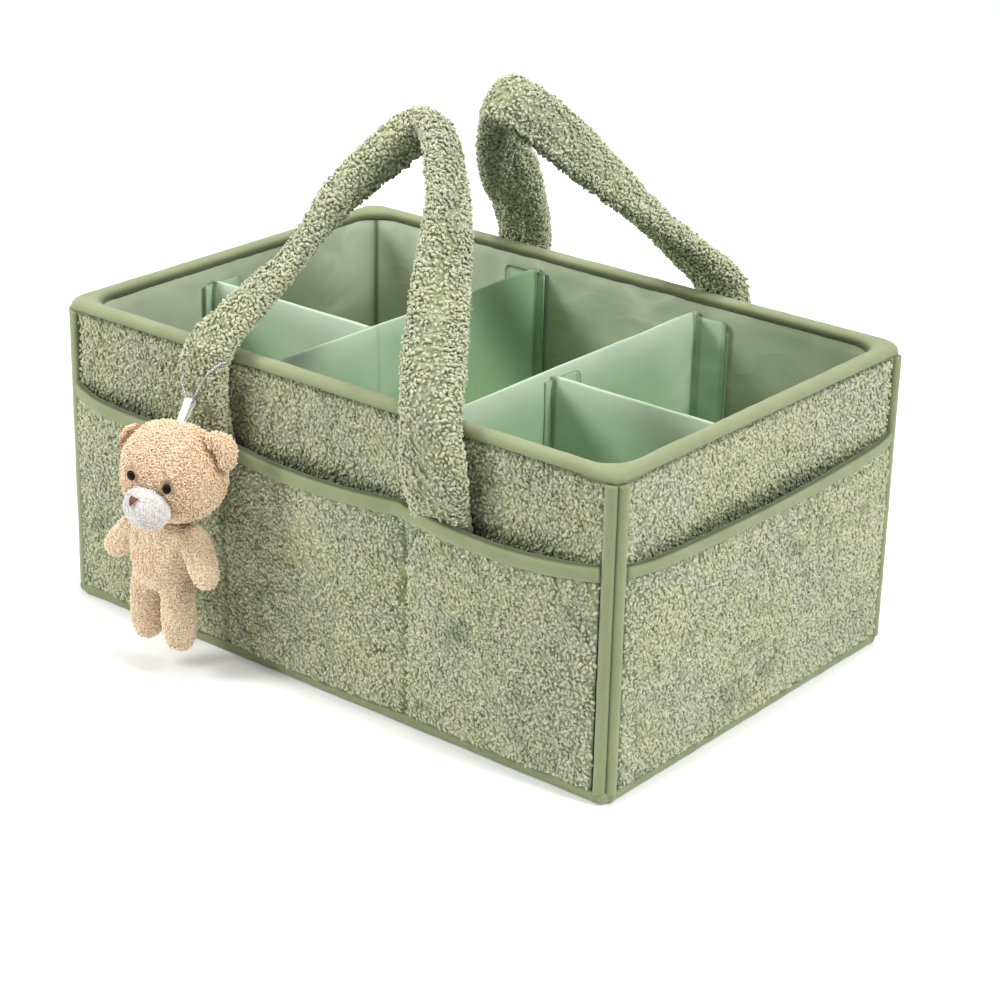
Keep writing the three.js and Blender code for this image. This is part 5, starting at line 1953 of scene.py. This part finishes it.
@dataclass
class Handle:
    """A stuffed sherpa handle: a loop that swings on two ends sewn in behind the pocket.

    Attributes:
        name: The start of its piece's and nodes' names.
        back: Whether it is the one at the back.
        spread: Half the distance between its feet.
        rise: Height of its peak above the fold.
        offset: How far its middle lies to the right of the wall's, seen from outside.
        apex_shift: How far its peak lies off its middle.
        lean: Its lean in over the basket, in degrees.
        seed: Picks its unevenness.
        foot_shift, foot_wide: How far the left and right feet lie to the right, and how much wider they are.
        slim, aside: Share by which the left and right sides are thinner above the rim, and how far they bend right.
        half_width, half_thickness: Half sizes of the strap.
        reach: Distance of the fold from the middle of the basket.
        fold: Height of the fold.
        pile, tuft: Height of the pile and width of a tuft.
        step: Spacing of the mesh.
        crease, groove: Place of the long grooves round the strap, in degrees, and their depth.
        sides: Points round the strap.
        cloth: How much thinner the strap is under its pile.
    """

    name: str
    back: bool
    spread: float
    rise: float
    offset: float
    apex_shift: float
    lean: float
    seed: int
    foot_shift: Pair = (0.0, 0.0)
    foot_wide: Pair = (0.0, 0.0)
    slim: Pair = (0.0, 0.0)
    aside: Pair = (0.0, 0.0)
    half_width: float = 17.5
    half_thickness: float = 8.5
    reach: float = 136.6
    fold: float = 181.0
    pile: float = 0.8
    tuft: float = 4.0
    step: float = 1.7
    crease: float = 50.0
    groove: float = 1.6
    sides: int = 48
    cloth: float = 1.2

    def loop_stations(self) -> Array:
        """Rows of middle, wide direction, thick direction and half sizes up, over and down the loop."""
        out = np.array([1, 0.89, 0.66, 0.43, 0.2, 0]) * self.spread
        up = np.array([0, 0.12, 0.39, 0.68, 0.89, 1])
        height = 0.3 + up * (self.rise - 0.3)
        left, right = (np.stack([self.apex_shift * up + way * out, 0 * up, height], axis=1) for way in (-1, 1))
        curve = threaded(np.vstack([left, right[::-1][1:]]), 3.0)
        along = unit(np.gradient(curve, axis=0))
        share, none = curve[:, 2:] / self.rise, 0 * curve[:, :1]
        proud = np.hstack([-along[:, 2:], none, along[:, :1]])
        flat = np.hstack([np.where(proud[:, :1] < 0, -1.0, 1.0), none, none])
        blend = smooth(share / 0.12)
        across = unit(flat * (1 - blend) + proud * blend)
        twist = math.pi / 2 * smooth((share - 0.06) / 0.89)
        face = np.array([0, -1, 0])
        wide = across * np.cos(twist) - face * np.sin(twist)
        thick = across * np.sin(twist) + face * np.cos(twist)
        cos, sin = math.cos(math.radians(self.lean)), math.sin(math.radians(self.lean))
        turn = np.array([[1, 0, 0], [0, cos, sin], [0, -sin, cos]])
        half = self.half_width * (1 - 0.15 * smooth(share))
        return np.hstack([*(part @ turn.T for part in (curve, wide, thick)), half, none + self.half_thickness])

    def end_stations(self, side: int) -> Array:
        """Rows for a fixed end, from its tail behind the pocket up to the fold."""
        rows = []
        for up, off, wide, thick in (
            (-64.0, 8.7, 16.8, 2.1), (-56.0, 8.4, 17.0, 2.6), (-50.5, 6.6, 17.2, 4.4),
            (-44.0, 4.2, 17.5, 6.6), (-38.0, 2.4, 17.5, 8.0), (-28.0, 0.6, 17.5, 8.4),
            (-18.0, 0.2, 17.5, 8.0), (-8.8, 0.4, 17.2, 7.4), (-3.0, 0.4, 16.8, 7.2),
        ):
            low = smooth((4 - up) / 30)
            shift, wider = (pair[(side + 1) // 2] * low for pair in (self.foot_shift, self.foot_wide))
            rows.append([side * self.spread + shift, off, up, side, 0, 0, 0, -1, 0, wide + wider, thick])
        return np.array(rows)

    def stations(self) -> Array:
        """Rows for the whole strap from one tail to the other, evenly spaced and smooth."""
        rows = np.vstack([self.end_stations(-1), self.loop_stations(), self.end_stations(1)[::-1]])
        dense = softened(spaced(rows, self.step), 40)
        along = unit(np.gradient(dense[:, :3], axis=0))
        wide = square_to(dense[:, 3:6], along)
        thick = np.cross(along, wide)
        flip = np.sign((thick * dense[:, 6:9]).sum(1, keepdims=True))
        dense[:, 3:6], dense[:, 6:9] = wide, thick * flip
        return dense

    def to_place(self, points: Array) -> Array:
        """Moves points from the fold's own frame to the object's."""
        moved = points + np.array([self.offset, -self.reach, self.fold])
        return moved * np.array([-1, -1, 1]) if self.back else moved

    def skin(self) -> Skin:
        """The stuffed strap with its curly pile."""
        rows, turn = self.stations(), turns(self.sides)
        wide, thick = oval(turn, 2.5, 2.3)
        for number, (start, low, high) in enumerate(((-14, 0.25, 0.5), (20, 0.7, 0.95))):
            side = ramp((2 * number - 1) * rows[:, 0], 6, 30)
            side = side * (1 - ramp(rows[:, 2], low * self.rise, high * self.rise))
            rows[:, 9:11] *= 1 - self.slim[number] * (side * ramp(rows[:, 2], start, start + 30))[:, None]
            rows[:, 0] += self.aside[number] * side * ramp(rows[:, 2], -14, 12)
        half_wide, half_thick = rows[:, 9:10], rows[:, 10:11]
        rings = self.to_place(
            rows[:, None, :3]
            + rows[:, None, 3:6] * ((half_wide - self.cloth) * wide)[..., None]
            + rows[:, None, 6:9] * ((half_thick - self.cloth * np.minimum(half_thick / 8, 1)) * thick)[..., None]
        )
        skin = outward(rings)
        degrees = np.degrees(turn[::-1] if turned(rings) else turn)
        groove = np.maximum(hump(degrees, self.crease, 14), hump(degrees, 360 - self.crease, 14))
        lumps = uneven(skin, (0.9, skin.points, 26), (0.4, 9), (self.seed, self.seed + 2))
        skin = skin.swollen(lumps - self.groove * np.outer(ramp(rows[:, 2], 8, 34), groove).ravel())
        skin = with_pile(skin, self.pile, self.tuft, self.seed + 4, lift=-0.5, shown=0.6)
        # Painted shade on the strap's undersides, up towards its peak.
        below = ramp(-skin.normals()[:, 2], 0.1, 0.75).reshape(len(rows), self.sides)
        shade = 1 - 0.6 * below * ramp(rows[:, 2], 0.25 * self.rise, 0.6 * self.rise)[:, None]
        skin.marks["pile"] *= shade.ravel()
        curls = HANDLE_CURLS.over(skin.points.reshape(*shade.shape, 3), self.seed + 8, wrap=True, shade=shade)
        return side_by_side(unrolled(skin, (len(rows) - 1, self.sides)), curls, 0.25)

    def build(self) -> None:
        """Makes the strap, from one tail behind the pocket up over the loop to the other."""
        piece = make_piece(f"{self.name}_strap", self.skin(), SHERPA)
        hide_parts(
            f"{self.name}_sleeve", f"{self.name}_core", f"{self.name}_left_end", f"{self.name}_right_end"
        )
        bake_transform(piece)


# The chain, its ribbon and the bear


@dataclass
class Chain:
    """The ball chain round the front handle's left foot, and the ribbon that hangs from it.

    Attributes:
        middle: The handle foot's middle, at the chain's height where it lies on the strap.
        half_x, half_y: Half the chain's size in plan.
        sag, slack: How far it hangs down and out in front.
        beads: How many beads it has.
        bead: Radius of a bead.
        ribbon_width, ribbon_cloth: Width and thickness of the ribbon.
        ribbon_radius: Radius of its fold.
        ribbon_hang: How far forward and down the ribbon leads to the head.
        foot: How far its ends reach down.
    """

    middle: Place = (-71.5, -136.6, 162.5)
    half_x: float = 10.5
    half_y: float = 9.6
    sag: float = 9.5
    slack: float = 3.0
    beads: int = 52
    bead: float = 0.78
    ribbon_width: float = 5.4
    ribbon_cloth: float = 0.62
    ribbon_radius: float = 1.9
    ribbon_hang: Pair = (6.5, 8.5)
    foot: float = 16.0

    def lowest(self) -> Array:
        """The chain's lowest place, from the middle."""
        return np.array([0.0, -self.half_y - self.slack, -self.sag])

    def line(self, step: float) -> Array:
        """Places along the chain, which sinks into the pile but for where the ribbon pulls it down."""
        deep = self.half_y - 2.8
        route = [
            self.lowest(), (3.4, -12.2, -5.6), (8.0, -11.8, 2.0), (12.6, -11.2, 9.0), (16.0, -9.2, 12.8),
            (15.4, -3.0, 13.4), (12.5, 3.0, 11.0), (6.0, deep, 6.0), (0.0, deep, 3.0), (-6.0, deep, 1.0),
            (-self.half_x, deep - 3, 0.0), (-self.half_x, -1.0, -0.6), (-9.6, -7.4, 1.0), (-7.2, -11.0, -0.6),
            (-4.6, -12.0, -4.6),
        ]
        dense = threaded(np.array([*route[-2:], *route, *route[:3]], dtype=float), 0.3)
        half, away = len(dense) // 2, np.linalg.norm(dense - self.lowest(), axis=1)
        once = dense[np.argmin(away[:half]) : half + np.argmin(away[half:])]
        return spaced(once + np.array(self.middle), step, closed=True)

    def skin(self) -> Skin:
        """Round beads on a thin wire."""
        coarse = self.line(1.0)
        length = np.linalg.norm(np.diff(np.vstack([coarse, coarse[:1]]), axis=0), axis=1).sum()
        beads = [ball(spot, column(self.bead, 3), 16, 11) for spot in self.line(length / self.beads)]
        return merged([*beads, strand(self.line(1.3), 0.32, closed=True)])

    def ribbon(self) -> Skin:
        """A folded ribbon over the chain's lowest point, whose two ends go into the head."""
        radius, arc, down = self.ribbon_radius, np.linspace(0, math.pi, 15), np.linspace(0, 1, 14)[1:]
        pinch = radius * (1 - 0.62 * np.sin(math.pi * np.minimum(down * 1.15, 1) * 0.5))
        right, left = (np.stack([way * pinch, -self.foot * down], axis=1) for way in (1, -1))
        path = np.vstack([right[::-1], radius * np.stack([np.cos(arc), np.sin(arc)], 1), left])
        tilt = -math.atan2(*self.ribbon_hang)
        cos, sin = math.cos(tilt), math.sin(tilt)
        off, up = path.T
        line = np.stack([0 * off, off * cos - up * sin, off * sin + up * cos], axis=1) + (self.middle + self.lowest())
        aside = np.array([1.0, 0, 0])
        proud = np.cross(unit(np.gradient(line, axis=0)), aside)
        wide, thick = oval(turns(24), 5.0, 2.2)
        gather = 1 - 0.12 * np.abs(np.linspace(-1, 1, len(line)))
        skin = outward(
            line[:, None]
            + aside * np.outer(self.ribbon_width / 2 * gather, wide)[..., None]
            + proud[:, None] * (self.ribbon_cloth / 2 * thick)[None, :, None]
        )
        lip = np.tile(np.abs(wide), len(line))
        return skin.mark(edge=0.6 * ramp(lip, 0.85, 1), seam=0.35 * hump(lip, 0.78, 0.06))

    def build(self) -> None:
        """Makes the chain and the ribbon."""
        chain = make_piece("chain_beads", self.skin(), CHAIN_METAL)
        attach(chain, "chain")
        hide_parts("ball_chain")
        ribbon = make_piece("ribbon_loop", self.ribbon(), RIBBON)
        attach(ribbon, "bear")
        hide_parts("hang_loop")


@dataclass
class Bear:
    """The plush bear: stuffed pieces of brushed pile, with a sewn nose and bead eyes.

    Attributes:
        head: Middle of its head.
        head_size: Half sizes of its head.
        yaw: Its head's turn, in degrees.
        voxel: Size of the even faces that each piece starts from.
        pile: Height of its pile.
        tuft: Width of a tuft.
        swirl: Size of the swirls that the pile is combed in.
        stitches: How many threads the nose has.
        eyes: Places of the eyes to the side and up, from the middle of the head.
        eye_size: Size of the eyes against the solids they stand for.
        ear_height: Height of the ears' middles above the middle of the head.
        stuffing: How its pieces swell.
    """

    head: Place = (-71.5, -163.0, 118.5)
    head_size: Place = (30.8, 23.0, 26.3)
    yaw: float = 14.0
    voxel: float = 2.6
    pile: float = 0.7
    tuft: float = 3.4
    swirl: float = 11.0
    stitches: int = 8
    eyes: tuple[Pair, Pair] = ((10.4, 0.1), (-10.4, 3.6))
    eye_size: float = 1.14
    ear_height: float = 14.5
    stuffing: Stuffing = Stuffing()

    def local(self, points: Array) -> Array:
        """Places in the head's own frame: X to its left, -Y ahead and Z up."""
        cos, sin = math.cos(math.radians(self.yaw)), math.sin(math.radians(self.yaw))
        off = points - np.array(self.head)
        return np.stack([off[:, 0] * cos + off[:, 1] * sin, -off[:, 0] * sin + off[:, 1] * cos, off[:, 2]], 1)

    def stuffed(self, nodes: Sequence[str], ease: int) -> Skin:
        """CAD pieces as one even skin, swollen by its filling and then made finer.

        Args:
            nodes: The CAD nodes to start from.
            ease: Passes that soften the creases between them.

        Returns:
            The skin.
        """
        start = merged(Skin.of_node(node) for node in nodes)
        even = shaped_by(start, "REMESH", mode="VOXEL", voxel_size=self.voxel * MM)
        if ease:
            even = shaped_by(even, "SMOOTH", iterations=ease, factor=0.5)
        return shaped_by(self.stuffing.swell(even), "SUBSURF", levels=1, render_levels=1)

    def limb(
        self, name: str, finish: Pile, seed: int, change: Callable[[Skin], Array] | None = None,
        nodes: Sequence[str] = (), ease: int = 0,
        shift: Callable[[Skin], Array] | Place = (0.0, 0.0, 0.0), curls: Curls = HEAD_CURLS,
    ) -> None:
        """One stuffed piece.

        Args:
            name: Name of the piece, and the CAD node that it stands for where nodes is empty.
            finish: Its plush.
            seed: Picks its pile.
            change: Gives a step outwards for each point before the pile is raised.
            nodes: The CAD nodes that it stands for.
            ease: Passes that soften the creases between them.
            shift: How far its stuffing has shifted, or what gives that for its skin.
            curls: The curls of its pile.
        """
        nodes = nodes or (name,)
        skin = self.stuffed(nodes, ease)
        lumps = 0.5 * layered(skin.points, 13, seed + 3) + (change(skin) if change else 0.0)
        skin = skin.moved(skin.normals() * lumps[:, None] + (shift(skin) if callable(shift) else np.array(shift)))
        head = name == "bear_head"
        joint = np.zeros(len(skin.points)) if head else self.joint(skin)
        eyes = self.eye_nearness(skin, 3.6) if head else 0.0
        skin = with_pile(skin, self.pile, self.tuft, seed, lift=-0.6)
        # Painted shade where the piece meets the head, on its pile and on its curls.
        skin.mark(pile=(curls.low - 0.2 + 0.3 * skin.marks["pile"]) * (1 - joint) - 0.5 * joint)
        pile = curls.on(skin, seed + 50, self.swirl, 1 - 0.8 * joint - 1.2 * (eyes > 0.3))
        piece = make_piece(f"{name}_plush", side_by_side(unrolled(skin), pile, 0.3), finish)
        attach(piece, "bear")
        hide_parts(*nodes)

    def joint(self, skin: Skin) -> Array:
        """1 along the line where a piece is sewn to the head, and 0 a little way off."""
        at = self.local(skin.points)
        share = np.linalg.norm(at / np.array(self.head_size), axis=1)
        return hump((share - 1) * np.linalg.norm(at, axis=1) / np.maximum(share, 0.1), 0.8, 1.3)

    def eye_nearness(self, skin: Skin, wide: float) -> Array:
        """1 at the two eyes on the front of the head, and 0 a little way off."""
        x, y, z = self.local(skin.points).T
        eyes = [hump(np.hypot(x - right, z - up), 0, wide) for right, up in self.eyes]
        return ramp(-y, 2, 16) * np.maximum(*eyes)

    def face_shape(self, skin: Skin) -> Array:
        """Hollows round the eyes, fuller cheeks, and the cheek that the muzzle draws in."""
        x, y, z = self.local(skin.points).T
        cheeks = hump(np.hypot((np.abs(x) - 19) / 1.2, z + 9), 0, 9)
        return 0.8 * cheeks * ramp(-y, 2, 16) - 1.2 * self.eye_nearness(skin, 4.2) - 2.2 * ramp(-x, 12, 28)

    def trunk_shift(self, skin: Skin) -> Array:
        """How far the trunk's stuffing has shifted: a little to the right, and up in the right arm."""
        x, _, z = skin.points.T
        arm = ramp(x - self.head[0], 13, 19) * ramp(z, 30, 40)
        return np.stack([column(1.6, len(x)), 0 * x, 0.6 + 0.08 * np.maximum(92.0 - z, 0) * arm], axis=1)

    def ear_shape(self, middle: float) -> Callable[[Skin], Array]:
        """A cupped front for an ear whose middle is so far to the side."""

        def cup(skin: Skin) -> Array:
            """Steps outwards: in at the ear's middle and out at its edge."""
            x, y, z = self.local(skin.points).T
            away = np.hypot(x - middle, z - self.ear_height)
            return -1.5 * ramp(-y, -1.0, 3.0) * hump(away, 0, 5.5) + 0.4 * hump(away, 9, 3)

        return cup

    def nose(self) -> None:
        """The nose: threads laid side by side that meet below."""
        spot, muzzle = (Skin.of_node(name).points.mean(axis=0) for name in ("bear_nose", "bear_muzzle"))
        out = unit(spot - muzzle)
        up = unit(np.array([0, 0, 1.0]) - out[2] * out)
        aside = np.cross(up, out)
        share = np.linspace(-0.04, 1, 12)
        threads = []
        for across in np.linspace(-1, 1, self.stitches):
            x = across * (2.7 * (1 - share) + 0.4 * share)
            z = 2.1 + 0.3 * across**2 - share * (4.6 - 0.5 * abs(across))
            off = 0.35 + 0.55 * np.sin(math.pi * np.clip(share, 0, 1)) ** 0.7 - 0.045 * (x**2 + z**2)
            threads.append(strand(spot + np.outer(x, aside) + np.outer(z, up) + np.outer(off, out), 0.42))
        skin = merged(threads)
        # Painted shade on the threads where they lie in against the face.
        skin.mark(seam=0.35 * (1 - ramp((skin.points - spot) @ out, 0.0, 0.9)), edge=0.1)
        piece = make_piece("bear_nose_stitches", skin, THREAD)
        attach(piece, "bear")
        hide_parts("bear_nose")

    def eye(self, name: str) -> None:
        """One bead eye, a little proud of the solid that it stands for."""
        solid = Skin.of_node(name).points
        low, high = solid.min(axis=0), solid.max(axis=0)
        middle = (low + high) / 2
        out = unit(middle - np.array(self.head))
        piece = make_piece(f"{name}_bead", ball(middle + 0.3 * out, self.eye_size * (high - low) / 2, 32, 21), EYE)
        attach(piece, "bear")
        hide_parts(name)

    def build(self) -> None:
        """Makes every piece of the bear."""
        self.limb("bear_head", PEACH, 301, self.face_shape)
        self.limb("bear_left_ear", PEACH, 311, self.ear_shape(-23.5), shift=(4.2, 0.0, -1.6), curls=BODY_CURLS)
        self.limb("bear_right_ear", PEACH, 321, self.ear_shape(28.0), shift=(0.4, 0.0, 2.6))
        self.limb("bear_muzzle", WHITE_PLUSH, 331, curls=MUZZLE_CURLS)
        limbs = [f"bear_{name}" for name in ("body", "left_arm", "right_arm", "left_leg", "right_leg")]
        self.limb("bear_trunk", PEACH, 341, nodes=limbs, ease=5, shift=self.trunk_shift, curls=BODY_CURLS)
        self.nose()
        for name in ("bear_left_eye", "bear_right_eye"):
            self.eye(name)


# Studio


@dataclass
class Studio:
    """The floor, the light and the camera.

    Attributes:
        eye: Place of the camera in millimetres.
        yaw, pitch, roll: Its turn in radians.
        lens: Focal length in millimetres on a 36 mm sensor.
        glow: How much the floor shines of itself round the object.
        world: Strength of the light from all round.
        half_floor: Half the side of the floor in metres.
        lamps: Name, place in metres, side in metres and power in watts of each soft light.
    """

    eye: Place = (861.710, -1052.699, 646.491)
    yaw: float = 0.6760075
    pitch: float = 0.3996703
    roll: float = 0.0246097
    lens: float = 95.4035
    glow: float = 0.2
    world: float = 0.28
    half_floor: float = 1.6
    lamps: tuple[tuple[str, Place, float, float], ...] = (
        ("key", (1.9, 0.2, 1.9), 0.6, 44.0), ("fill", (-1.0, -1.15, 1.05), 0.5, 19.0),
        ("above", (0.1, -0.1, 2.4), 0.7, 26.0),
    )

    @staticmethod
    def aim(made: bpy.types.Object, across: Array, above: Array, back: Array, place: Array) -> None:
        """Turns a camera or a lamp.

        Args:
            made: The camera or lamp, which looks the other way from back.
            across, above, back: Ways that its X, Y and Z point.
            place: Where it stands, in metres.
        """
        turn = np.vstack([np.stack([across, above, back, place], axis=1), [0, 0, 0, 1]])
        made.matrix_world = Matrix(turn.tolist())

    def camera(self) -> None:
        """Puts the camera at the photograph's viewing angle."""
        data = bpy.data.cameras.new("camera")
        data.lens, data.sensor_width = self.lens, 36.0
        data.clip_start, data.clip_end = 0.05, 60.0
        made = added("camera", data)
        sy, cy, sp, cp = math.sin(self.yaw), math.cos(self.yaw), math.sin(self.pitch), math.cos(self.pitch)
        ahead, right = np.array([-sy * cp, cy * cp, -sp]), np.array([cy, sy, 0.0])
        up = np.cross(right, ahead)
        sr, cr = math.sin(self.roll), math.cos(self.roll)
        self.aim(made, right * cr + up * sr, -right * sr + up * cr, -ahead, np.array(self.eye) * MM)
        bpy.context.scene.camera = made

    def floor(self) -> None:
        """A plain white floor that keeps the object's shadow."""
        mesh = bpy.data.meshes.new("floor")
        corners = (2 * CORNERS - 1) * self.half_floor
        mesh.from_pydata(np.c_[corners, column(0.0, 4)].tolist(), [], [(0, 1, 2, 3)])
        added("floor", mesh)
        material = bpy.data.materials.new("floor_white")
        loom = Loom.empty(material)
        shader = loom.node("BsdfPrincipled", {"Base Color": (0.93, 0.93, 0.93), "Roughness": 0.9})
        shader.inputs["Specular IOR Level"].default_value = 0.0
        rays = loom.node("LightPath").outputs
        seen = loom.math("MAXIMUM", rays["Is Camera Ray"], rays["Is Glossy Ray"])
        where = loom.node("TexCoord").outputs["Object"]
        away = loom.node("VectorMath", {0: where}, operation="LENGTH").outputs["Value"]
        ends = {"Value": away, "From Min": 0.45, "From Max": 1.3, "To Min": self.glow, "To Max": 1.0}
        far = loom.node("MapRange", ends).outputs["Result"]
        glow = loom.node("Emission", {"Color": WHITE, "Strength": loom.times(seen, far)})
        both = loom.node("AddShader", {0: shader.outputs[0], 1: glow.outputs[0]})
        loom.node("OutputMaterial", {"Surface": both.outputs[0]})
        mesh.materials.append(material)

    def lamp(self, name: str, place: Place, size: float, power: float) -> None:
        """One square soft light aimed at the object.

        Args:
            name: Name of the light.
            place: Where it hangs, in metres.
            size: Length of its side in metres.
            power: Its power in watts.
        """
        data = bpy.data.lights.new(name, "AREA")
        data.shape, data.size, data.energy = "SQUARE", size, power
        back = unit(np.array(place) - np.array([0.0, 0.0, 0.1]))
        side = unit(np.cross(np.array([0, 0, 1.0]), back))
        self.aim(added(name, data), side, np.cross(back, side), back, np.array(place))

    def light(self) -> None:
        """Plain soft studio light, white where the camera sees past the floor."""
        scene = bpy.context.scene
        scene.view_settings.view_transform = "Standard"
        scene.world = bpy.data.worlds.new("studio")
        loom = Loom.empty(scene.world)
        rays = loom.node("LightPath").outputs
        other = loom.math("MAXIMUM", rays["Is Glossy Ray"], rays["Is Transmission Ray"])
        seen = loom.math("MAXIMUM", rays["Is Camera Ray"], other)
        strength = between(loom, seen, (self.world, 1.0))
        back = loom.node("Background", {"Color": WHITE, "Strength": strength})
        loom.node("OutputWorld", {"Surface": back.outputs[0]})
        for lamp in self.lamps:
            self.lamp(*lamp)

    def build(self) -> None:
        """Makes the whole studio."""
        self.camera()
        self.floor()
        self.light()


def main() -> None:
    """Builds the caddy's pieces in order, and the studio round it."""
    logging.basicConfig(level=logging.INFO, format="%(name)s: %(message)s")
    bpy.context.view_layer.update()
    front = Handle(
        "front_handle", False, 77.2, 149.0, 3.3, -2.8, 39.9, 401, foot_shift=(0.6, 3.6), foot_wide=(-4.4, 2.2),
        slim=(0.31, 0.09), aside=(4.0, 2.2),
    )
    rear = Handle("rear_handle", True, 72.0, 160.0, 6.0, 0.0, 44.4, 421)
    for part in (Studio(), Walls(), Bindings(), Pockets(), Dividers(), front, rear, Chain(), Bear()):
        part.build()
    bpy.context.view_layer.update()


if __name__ == "__main__":
    main()
